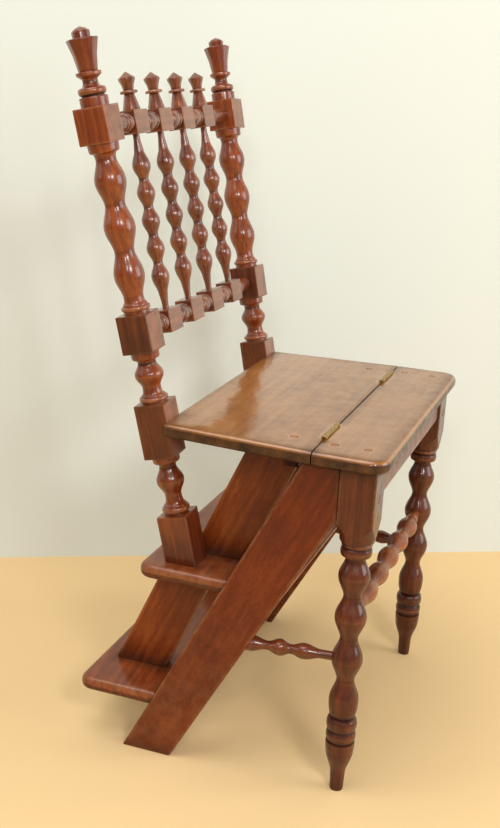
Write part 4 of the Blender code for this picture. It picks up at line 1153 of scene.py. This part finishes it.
class STEPCHAIR_OT_seat_boards(StepChairOperator, bpy.types.Operator):
    """Make the two seat boards with their rounded edges, hinge recesses and plug holes"""

    bl_idname = "step_chair.seat_boards"
    bl_label = "Seat boards"

    def execute(self, context):
        """The fixed strip in front and the board that folds."""
        sizes, finishes = chair_settings(context)
        wood = mahogany(
            finishes, "worn seat", "seat", (hinge_x, 0.0, seat_height - 0.06),
            (math.radians(-90), 0.0, math.radians(0.6)),
            coat=1.0, roughness=0.30, band=0.016, spread=0.28, coat_roughness=0.10, pore=0.05,
        )
        past = 0.004
        half = strip_high.y
        front = strip_high.x - hinge_x
        rear = seat_low.x - hinge_x
        corners = [(-past, -half), (front, -half), (front, half), (-past, half)]
        strip = self.board(corners, strip_corner, sizes.bullnose, 1)
        # Sitters' legs have rubbed the strip, and it carries a painted sheen
        paint(strip, "wear", lambda co: 0.6)
        strip = add_piece(
            "polished", "front_seat_strip", strip, wood, "stand", 20.0,
            name="polished_seat_strip",
        )
        corners = [
            (past, half), (rear, board_rear_half), (rear, -board_rear_half), (past, -half)
        ]
        board = self.board(corners, board_corner, sizes.bullnose, -1)
        board = add_piece(
            "polished", "rear_seat_board", board, wood, "folding_top", 20.0,
            name="polished_rear_board",
        )
        for obj, holes, facing in (
            (strip, strip_plug_places, 1), (board, board_plug_places, -1)
        ):
            cutters = self.hole_cutters(sizes, holes) + self.hinge_cutters(facing)
            if obj is board:
                cutters += self.post_cutters(sizes)
            carve(obj, cutters, 20.0)
        return {"FINISHED"}

    def hole_cutters(self, sizes, holes):
        """Cutters for the plugs' holes."""
        radius = sizes.plug_radius + 0.00025
        down = (0.0, 0.0, -plug_hole_depth)
        return [round_cutter(to_record((x, y, seat_height)), down, radius) for x, y in holes]

    def hinge_cutters(self, facing):
        """Cutters for the grooves of the barrels and the housings of the leaves."""
        cutters = []
        outer = hinge_x + facing * (board_joint / 2 + 0.0015)
        for place in (-hinge_place, hinge_place):
            first = place - hinge_length / 2 - clearance
            last = place + hinge_length / 2 + clearance
            end = Vector((hinge_x, first, hinge_height))
            run = (0.0, last - first, 0.0)
            cutters.append(round_cutter(end, run, barrel_radius + 0.0004, 0.0))
            low = (min(hinge_x, outer), first, hinge_height - housing_depth)
            cutters.append(plain_block(low, (max(hinge_x, outer), last, hinge_height)))
        return cutters

    def post_cutters(self, sizes):
        """Cutters for the notches that hold the back posts."""
        reach = sizes.post_side / 2 + clearance
        low, high = block_places[0]
        cutters = []
        for side, _ in both_sides:
            notch = plain_block((-reach, -reach, low), (reach, reach, high))
            place = to_record((-post_reach, side * post_spread, seat_height))
            place_mesh(notch, place, (-side * post_splay, -post_rake, 0.0))
            cutters.append(notch)
        return cutters

    def board(self, corners, corner, rounding, facing):
        """A board with rounded corners and edges, sawn square at the joint."""
        bm = push_outline(
            [to_record((x, y, seat_height - board_thickness)) for x, y in corners],
            (0.0, 0.0, board_thickness),
        )
        round_board(bm, board_thickness, corner, rounding, lambda x: abs(x - hinge_x) > 0.01)
        saw(bm, (hinge_x + facing * board_joint / 2, 0.0, 0.0), (-facing, 0.0, 0.0))
        cut_grid(bm, ((0, 0.012), (1, 0.016)))
        taper = (strip_high.y - board_rear_half) / (hinge_x - seat_low.x)

        def edge_distance(co):
            """How far a point lies inside the nearest edge of the seat."""
            across = strip_high.y - max(0.0, hinge_x - co.x) * taper - abs(co.y)
            return min(across, strip_high.x - co.x, co.x - seat_low.x)

        def rubbed(co):
            """A pale line along the rounding: a painted highlight, with rubbing by hands, but not
            at the seat's front.
            """
            if 0.0012 < seat_height - co.z < 0.0035:
                return 1.3 * fade(co.x - strip_high.x + 0.05, 0.035)
            return 0.0

        def wax_and_painted_shade(co):
            """Wax and painted shade by the joint; darker towards the front; a painted dark
            reflection along the edge, above and below the pale line; painted shade down the sides
            and under the board.
            """
            drop = seat_height - co.z
            joint = 0.5 * fade(abs(co.x - hinge_x), 0.007)
            towards_front = 0.30 * fade(hinge_x - 0.03 - co.x, 0.15) * (drop < 0.001)
            rim = (0.30 if drop < 0.0012 else 0.12) * fade(edge_distance(co) - 0.0075, 0.012)
            return joint + towards_front + rim + 0.95 * (1.0 - fade(drop - 0.0030, 0.0024))

        def underside(co):
            """The underside is a step when the chair is turned over: feet keep it cleaner."""
            low = co.z < seat_height - board_thickness + 0.0005
            return -0.6 * low * (1.0 - fade(edge_distance(co) - 0.008, 0.03))

        def by_the_posts(co):
            """Wax and painted shade against the back posts."""
            away = max(abs(co.x - hinge_x + post_reach), abs(abs(co.y) - post_spread))
            return 0.5 * fade(away - 0.02, 0.02)

        # Painted highlight along the rounding, then wax and painted shade
        lay(bm, "wear", rubbed)
        for shade in (wax_and_painted_shade, underside, by_the_posts):
            paint(bm, "grime", shade)
        return bm


class STEPCHAIR_OT_strings(StepChairOperator, bpy.types.Operator):
    """Make the raking outer strings and the inner strings between the treads"""

    bl_idname = "step_chair.strings"
    bl_label = "Strings"

    def execute(self, context):
        """The boards of each side."""
        sizes, finishes = chair_settings(context)
        looks = {"coat": 0.20, "roughness": 0.40, "band": 0.011, "spread": 0.28}
        outline = (
            (hinge_x - string_foot_rear, 0.0), (hinge_x - string_foot_front, 0.0),
            (hinge_x + string_throat, string_throat_height),
            (hinge_x + string_throat, support_height),
            (hinge_x - string_head_rear, support_height),
        )
        for side, word in both_sides:
            wood = mahogany(
                finishes, "outer string " + word, "string", to_record((-0.1, side * 0.33, 0.2)),
                (0.0, string_slope, 0.3 * side), **looks,
            )
            bm = sawn_board(
                outline, side * string_low.y, side * string_high.y, sizes.board_arris, 0.016
            )
            # Painted shade under the seat's overhang at the top and against the legs, and painted
            # shade with some dust at the foot
            paint(
                bm,
                "grime",
                lambda co: 0.30 * fade(support_height - co.z, 0.02)
                + 0.25 * fade(support_height - co.z, 0.12)
                + 0.45 * fade(co.z, 0.025)
                + 0.55 * fade(leg_low.x - co.x, 0.006),
            )
            # Shoes have scuffed the feet, and the lower part is painted paler as painted light
            paint(bm, "wear", lambda co: 0.5 * fade(co.z, 0.30))
            add_piece("sawn", "outer_string_" + word, bm, wood, "stand", 25.0)
            for level, foot in inner_string_feet:
                self.inner(sizes, finishes, looks, side, word, level, foot)
        return {"FINISHED"}

    def inner(self, sizes, finishes, looks, side, word, level, foot):
        """One inner string, with painted shade and wax where it meets the tread below and at its
        top.
        """
        low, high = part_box(level + "_string_left")
        run = (high.z - low.z) * inner_string_rake
        rear = hinge_x - foot
        front = rear + inner_string_width
        outline = ((rear, low.z), (front, low.z), (front + run, high.z), (rear + run, high.z))
        bm = sawn_board(outline, side * low.y, side * high.y, sizes.board_arris, 0.014)
        # Painted shade, with some wax, at the foot and at the top
        paint(
            bm,
            "grime",
            lambda co: 0.75 * fade(co.z - low.z, 0.030) + 0.7 * fade(high.z - co.z, 0.022),
        )
        wood = mahogany(
            finishes, "%s inner string %s" % (level, word), "turned",
            to_record((-foot, side * 0.25, low.z)),
            (0.0, math.atan(inner_string_rake), 0.2 * side), **looks,
        )
        node = "%s_string_%s" % (level, word)
        obj = add_piece("sawn", node, bm, wood, "folding_top", 25.0)
        if level == "upper":
            cleat_low, cleat_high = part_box("board_cleat")
            gap = Vector((clearance,) * 3)
            past = 0.004
            top = cleat_high + gap + Vector((past + hinge_x - cleat_high.x, 0.0, past))
            carve(obj, [plain_block(cleat_low - gap, top)], 25.0)


class STEPCHAIR_OT_treads(StepChairOperator, bpy.types.Operator):
    """Make the fixed tread and the two treads that turn over with the back"""

    bl_idname = "step_chair.treads"
    bl_label = "Treads"

    def execute(self, context):
        """The hidden fixed tread, then the two that show."""
        sizes, finishes = chair_settings(context)
        wood = mahogany(
            finishes, "treads", "turned", (hinge_x - 0.2, 0.0, 0.0),
            (math.radians(-90), 0.0, 0.1), coat=0.45, roughness=0.38, band=0.012,
        )
        low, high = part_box("fixed_tread")
        rise = high.z - low.z
        outline = (
            (low.x, low.z), (high.x - rise * math.tan(throat_slope), low.z),
            (high.x, high.z), (low.x + rise * math.tan(string_slope), high.z),
        )
        bm = sawn_board(outline, low.y, high.y, sizes.board_arris, 0.02)
        # Painted shade at the ends, where the tread meets the strings
        paint(bm, "grime", lambda co: 0.5 * fade(high.y - abs(co.y), 0.02))
        add_piece("sawn", "fixed_tread", bm, wood, "stand", 25.0)
        # The middle tread is painted paler than the low one: partly rubbing by feet, partly
        # painted light
        for node, string, worn in (("mid_tread", "upper", 0.6), ("low_tread", "lower", 0.2)):
            bm = self.moving_tread(sizes, node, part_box(string + "_string_left")[0], worn)
            add_piece("polished", node, bm, wood, "folding_top", 25.0)
        return {"FINISHED"}

    def moving_tread(self, sizes, node, foot, worn):
        """A tread rounded behind and sawn to the strings' rake in front."""
        low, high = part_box(node)
        front = high.x + 0.004
        corners = ((front, high.y), (low.x, high.y), (low.x, low.y), (front, low.y))
        bm = push_outline([(x, y, low.z) for x, y in corners], (0.0, 0.0, high.z - low.z))
        round_board(
            bm, tread_thickness, tread_corner, sizes.tread_bullnose, lambda x: x < front - 0.01
        )
        normal = Vector((math.cos(string_slope), 0.0, -math.sin(string_slope)))
        edge_x = (string_foot_rear - string_head_rear) * high.z / support_height
        edge = to_record((edge_x - string_foot_rear, 0.0, high.z))
        saw(bm, edge - normal * 0.0005, normal)
        cut_grid(bm, ((0, 0.012), (1, 0.016)))
        middle = (low.z + high.z) / 2
        half_width = inner_string_width / 2
        half_thickness = inner_string_thickness / 2

        def dirt_and_shade(co):
            """Dirt and painted shade below, round the inner strings' feet and along the sawn edge.
            """
            across = fade(max(0.0, abs(abs(co.y) - inner_string_spread) - half_thickness), 0.020)
            along = fade(max(0.0, abs(co.x - foot.x - half_width) - half_width), 0.016)
            round_strings = 0.6 * (co.z > middle) * across * along
            return 0.6 * (co.z < middle) + round_strings + 0.5 * fade(edge.x - co.x, 0.016)

        # A pale line along the upper rounding: a painted highlight, with rubbing of the nosing
        lay(bm, "wear", lambda co: 1.0 if middle < co.z < high.z - clearance else worn)
        paint(bm, "grime", dirt_and_shade)
        return bm


class STEPCHAIR_OT_rail_and_blocks(StepChairOperator, bpy.types.Operator):
    """Make the rail under the front of the seat and finish the hidden blocks and cleat"""

    bl_idname = "step_chair.rail_and_blocks"
    bl_label = "Front rail, blocks and cleat"

    def execute(self, context):
        """The rail is new; the blocks and the cleat keep their CAD shape."""
        sizes, finishes = chair_settings(context)
        wood = mahogany(
            finishes, "front rail", "string", (rail_low.x - 0.1, 0.0, rail_low.z),
            (math.radians(-90), 0.0, 0.3), coat=0.4, roughness=0.38, band=0.011,
        )
        bm = block(rail_low, rail_high, sizes.board_arris, 0.003, 0.02)
        # Painted shade under the seat and at the ends against the legs
        paint(
            bm,
            "grime",
            lambda co: 0.6 * fade(rail_high.z - co.z, 0.016)
            + 0.6 * fade(rail_high.y - abs(co.y), 0.010),
        )
        add_piece("sawn", "front_rail", bm, wood, "stand", 25.0)
        bare = bare_wood(
            "Bare sawn beech, blocks and cleat", tuple(finishes.bare_wood), tuple(finishes.grime)
        )
        # The cleat is made dark to sit unseen in the shade under the seat: painted shade
        dark = polished_mahogany(
            "Stained mahogany, cleat under the board",
            (tuple(finishes.string_mid), tuple(finishes.string_dark), tuple(finishes.grime)),
            finishes, (0.0, 0.0, rail_low.z), (math.radians(-90), 0.0, 0.0),
            coat=0.1, roughness=0.6,
        )
        hidden = (("corner_block_left", bare), ("corner_block_right", bare), ("board_cleat", dark))
        for name, material in hidden:
            mesh = frame["nodes"][name].data
            mesh.materials.clear()
            mesh.materials.append(material)
        return {"FINISHED"}


class STEPCHAIR_OT_hinges(StepChairOperator, bpy.types.Operator):
    """Make the two brass butt hinges: leaves, knuckles and pins"""

    bl_idname = "step_chair.hinges"
    bl_label = "Brass hinges"

    def execute(self, context):
        """Both leaves and the pin of each hinge."""
        finishes = chair_settings(context)[1]
        brass = worn_brass("Worn brass, hinges", tuple(finishes.brass), tuple(finishes.grime))
        turn = (math.radians(-90), 0.0, 0.0)
        half = hinge_length / 2
        for side, word in both_sides:
            for facing, kind, body in ((1, "fixed", "stand"), (-1, "moving", "folding_top")):
                node = "hinge_leaf_%s_%s" % (kind, word)
                bm = self.leaf(side, facing, node, turn)
                add_piece("brass", node, bm, brass, body, 30.0)
            tip = [(-half, 0.0006), (-half + 0.0004, 0.00105), (-half + 0.0009, 0.00125)]
            pin = turned(tip + [(-place, radius) for place, radius in reversed(tip)], 24)
            place_mesh(pin, (hinge_x, side * hinge_place, hinge_height), turn)
            add_piece("brass", "hinge_pin_" + word, pin, brass, "stand")
        return {"FINISHED"}

    def leaf(self, side, facing, node, turn):
        """A flat leaf in its housing, with its knuckles in the groove above."""
        low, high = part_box(node)
        inner = hinge_x + facing * board_joint / 2
        near, far = sorted((inner, inner + facing * leaf_thickness))
        top = hinge_height - barrel_radius - leaf_drop
        bm = plain_block((near, low.y, low.z), (far, high.y, top), 0.0002)
        knuckle = hinge_length / knuckle_count
        lip = (
            (0.0, 0.00135), (0.0, barrel_radius - 0.0004),
            (0.0003, barrel_radius - 0.0001), (0.0008, barrel_radius),
        )
        for index in range(0 if facing > 0 else 1, knuckle_count, 2):
            first = side * hinge_place - hinge_length / 2 + index * knuckle + clearance / 2
            last = min(first + knuckle - clearance, high.y)
            first = max(first, low.y)
            line = [(first + at, radius) for at, radius in lip]
            line += [(last - at, radius) for at, radius in reversed(lip)]
            barrel = turned(line, 32)
            place_mesh(barrel, (hinge_x, 0.0, hinge_height), turn)
            add_mesh(bm, barrel)
            web_top = hinge_height - barrel_radius / 2
            add_mesh(bm, plain_block((near, first, top - 0.001), (far, last, web_top)))
        return bm


class STEPCHAIR_OT_plugs(StepChairOperator, bpy.types.Operator):
    """Make the wooden plugs over the screws and the pins of the fixed tread"""

    bl_idname = "step_chair.plugs"
    bl_label = "Plugs and pins"

    def execute(self, context):
        """Slightly domed round plugs, each a little prouder or lower than its neighbours."""
        sizes, finishes = chair_settings(context)
        dark, pale = (
            mahogany(
                finishes, piece, kind, (0.0, 0.0, 0.0), (math.radians(90), 0.0, 0.0),
                coat=0.3, roughness=0.42,
            )
            for piece, kind in (("leg plugs and tread pins", "string"), ("seat plugs", "seat"))
        )
        outwards = {
            "board_plug": (0.0, 0.0, 1.0),
            "leg_plug": (1.0, 0.0, 0.0),
            "strip_plug": (0.0, 0.0, 1.0),
            "tread_pin_left": (0.0, 1.0, 0.0),
            "tread_pin_right": (0.0, -1.0, 0.0),
        }
        nodes = sorted(node for node in frame["nodes"] if node.startswith(tuple(outwards)))
        for index, node in enumerate(nodes):
            outward = next(Vector(way) for kind, way in outwards.items() if node.startswith(kind))
            low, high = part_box(node)
            middle = (low + high) / 2
            length = abs((high - low).dot(outward))
            radius = 0.003 if node.startswith("tread_pin") else sizes.plug_radius
            top = length - 0.0001 * (index % 3)
            bm = turned(
                [
                    (0.0, radius), (top - 0.0006, radius), (top - 0.0002, radius * 0.95),
                    (top, radius * 0.80), (top, radius * 0.40),
                ],
                32,
            )
            turn = outward.to_track_quat("Z", "Y").to_euler()
            place_mesh(bm, middle - outward * length / 2, turn)
            rim = radius * 0.9
            lay(
                bm,
                "grime",
                lambda co: 0.95 if (co - middle).cross(outward).length > rim else 0.15,
            )
            wood = pale if outward.z > 0.5 else dark
            body = "folding_top" if node.startswith("board") else "stand"
            add_piece("wooden", node, bm, wood, body)
        return {"FINISHED"}


class STEPCHAIR_OT_stage(StepChairOperator, bpy.types.Operator):
    """Set the pale floor, the backdrop, the lamps and the camera"""

    bl_idname = "step_chair.stage"
    bl_label = "Stage, lamps and camera"

    def execute(self, context):
        """The chair stands on a plain floor in front of a plain wall."""
        finishes = chair_settings(context)[1]
        floor = matt_paint("Matt paint, floor", tuple(finishes.floor))
        wall = matt_paint("Matt paint, backdrop", tuple(finishes.wall), True)
        self.plane("floor", (0.0, 0.0, 0.0), (0.0, 0.0, 0.0), floor)
        turn = (math.radians(90), 0.0, math.radians(28.3))
        self.plane("backdrop", (-0.16, 0.45, 3.0), turn, wall)
        for name, location, size, power in (
            ("key lamp", (1.5, -1.9, 1.9), 0.50, 28.0),
            ("near lamp", (0.55, -2.6, 1.85), 0.35, 12.0),
            ("fill lamp", (-2.2, -1.6, 1.6), 1.4, 7.5),
            ("window lamp", (2.8, 0.4, 1.4), 1.8, 52.0),
            ("top lamp", (-0.45, -0.8, 2.8), 1.7, 39.0),
        ):
            self.lamp(name, location, size, power)
        self.light_world()
        self.set_camera()
        bpy.context.scene.view_settings.view_transform = "Standard"
        return {"FINISHED"}

    def plane(self, name, location, turn, material):
        """A broad flat surface of the stage, 8 m wide."""
        bm = bmesh.new()
        bmesh.ops.create_grid(bm, x_segments=1, y_segments=1, size=4.0)
        place_mesh(bm, location, turn)
        obj = new_object(name, bm)
        obj.data.materials.append(material)

    def lamp(self, name, location, size, power):
        """A soft square lamp aimed at the chair."""
        data = bpy.data.lights.new(name, "AREA")
        data.shape = "SQUARE"
        data.size = size
        data.energy = power
        obj = bpy.data.objects.new(name, data)
        obj.location = location
        aim = Vector((0.0, 0.0, 0.45))
        obj.rotation_euler = (aim - Vector(location)).to_track_quat("-Z", "Y").to_euler()
        bpy.context.scene.collection.objects.link(obj)

    def light_world(self):
        """Even pale light from all round."""
        world = bpy.data.worlds.new("Studio")
        bpy.context.scene.world = world
        world.use_nodes = True
        background = world.node_tree.nodes["Background"]
        background.inputs["Color"].default_value = (*from_hex("#F6E8CF"), 1.0)
        background.inputs["Strength"].default_value = 0.38

    def set_camera(self):
        """The camera fitted to the photograph, looking down at the chair's right side."""
        yaw, pitch, roll = (math.radians(angle) for angle in (18.92293, 17.03578, 3.16615))
        level = math.cos(pitch)
        forward = Vector((-math.sin(yaw) * level, math.cos(yaw) * level, -math.sin(pitch)))
        right = Vector((math.cos(yaw), math.sin(yaw), 0.0))
        up = right.cross(forward)
        across = math.cos(roll) * right + math.sin(roll) * up
        above = -math.sin(roll) * right + math.cos(roll) * up
        data = bpy.data.cameras.new("Camera")
        data.sensor_fit = "HORIZONTAL"
        data.sensor_width = 36.0
        data.lens = 84.31
        camera = bpy.data.objects.new("Camera", data)
        turn = Matrix((across, above, -forward)).transposed().to_4x4()
        camera.matrix_world = Matrix.Translation((0.46651, -1.46639, 0.89061)) @ turn
        bpy.context.scene.collection.objects.link(camera)
        bpy.context.scene.camera = camera


operators = (
    STEPCHAIR_OT_back_posts,
    STEPCHAIR_OT_front_legs,
    STEPCHAIR_OT_stretchers,
    STEPCHAIR_OT_back_rails,
    STEPCHAIR_OT_spindles,
    STEPCHAIR_OT_seat_boards,
    STEPCHAIR_OT_strings,
    STEPCHAIR_OT_treads,
    STEPCHAIR_OT_rail_and_blocks,
    STEPCHAIR_OT_hinges,
    STEPCHAIR_OT_plugs,
    STEPCHAIR_OT_stage,
)


class STEPCHAIR_PT_panel(bpy.types.Panel):
    """Lists the chair's operators and properties"""

    bl_idname = "STEPCHAIR_PT_panel"
    bl_label = "Library step chair"
    bl_space_type = "VIEW_3D"
    bl_region_type = "UI"
    bl_category = "Step chair"

    def draw(self, context):
        """Show the operators, then the sizes and the finishes."""
        column = self.layout.column(align=True)
        for operator in operators:
            column.operator(operator.bl_idname)
        for group in chair_settings(context):
            box = self.layout.box().column(align=True)
            for name in group.__annotations__:
                box.prop(group, name)


classes = (StepChairSizes, StepChairFinishes) + operators + (STEPCHAIR_PT_panel,)


def register():
    """Register the classes and the scene's properties."""
    for item in classes:
        bpy.utils.register_class(item)
    bpy.types.Scene.step_chair_sizes = bpy.props.PointerProperty(type=StepChairSizes)
    bpy.types.Scene.step_chair_finishes = bpy.props.PointerProperty(type=StepChairFinishes)


def unregister():
    """Take the properties and the classes away again."""
    del bpy.types.Scene.step_chair_finishes
    del bpy.types.Scene.step_chair_sizes
    for item in reversed(classes):
        bpy.utils.unregister_class(item)


def main():
    """Build the whole chair and its stage."""
    register()
    for operator in operators:
        group, name = operator.bl_idname.split(".")
        getattr(getattr(bpy.ops, group), name)()


if __name__ == "__main__":
    main()
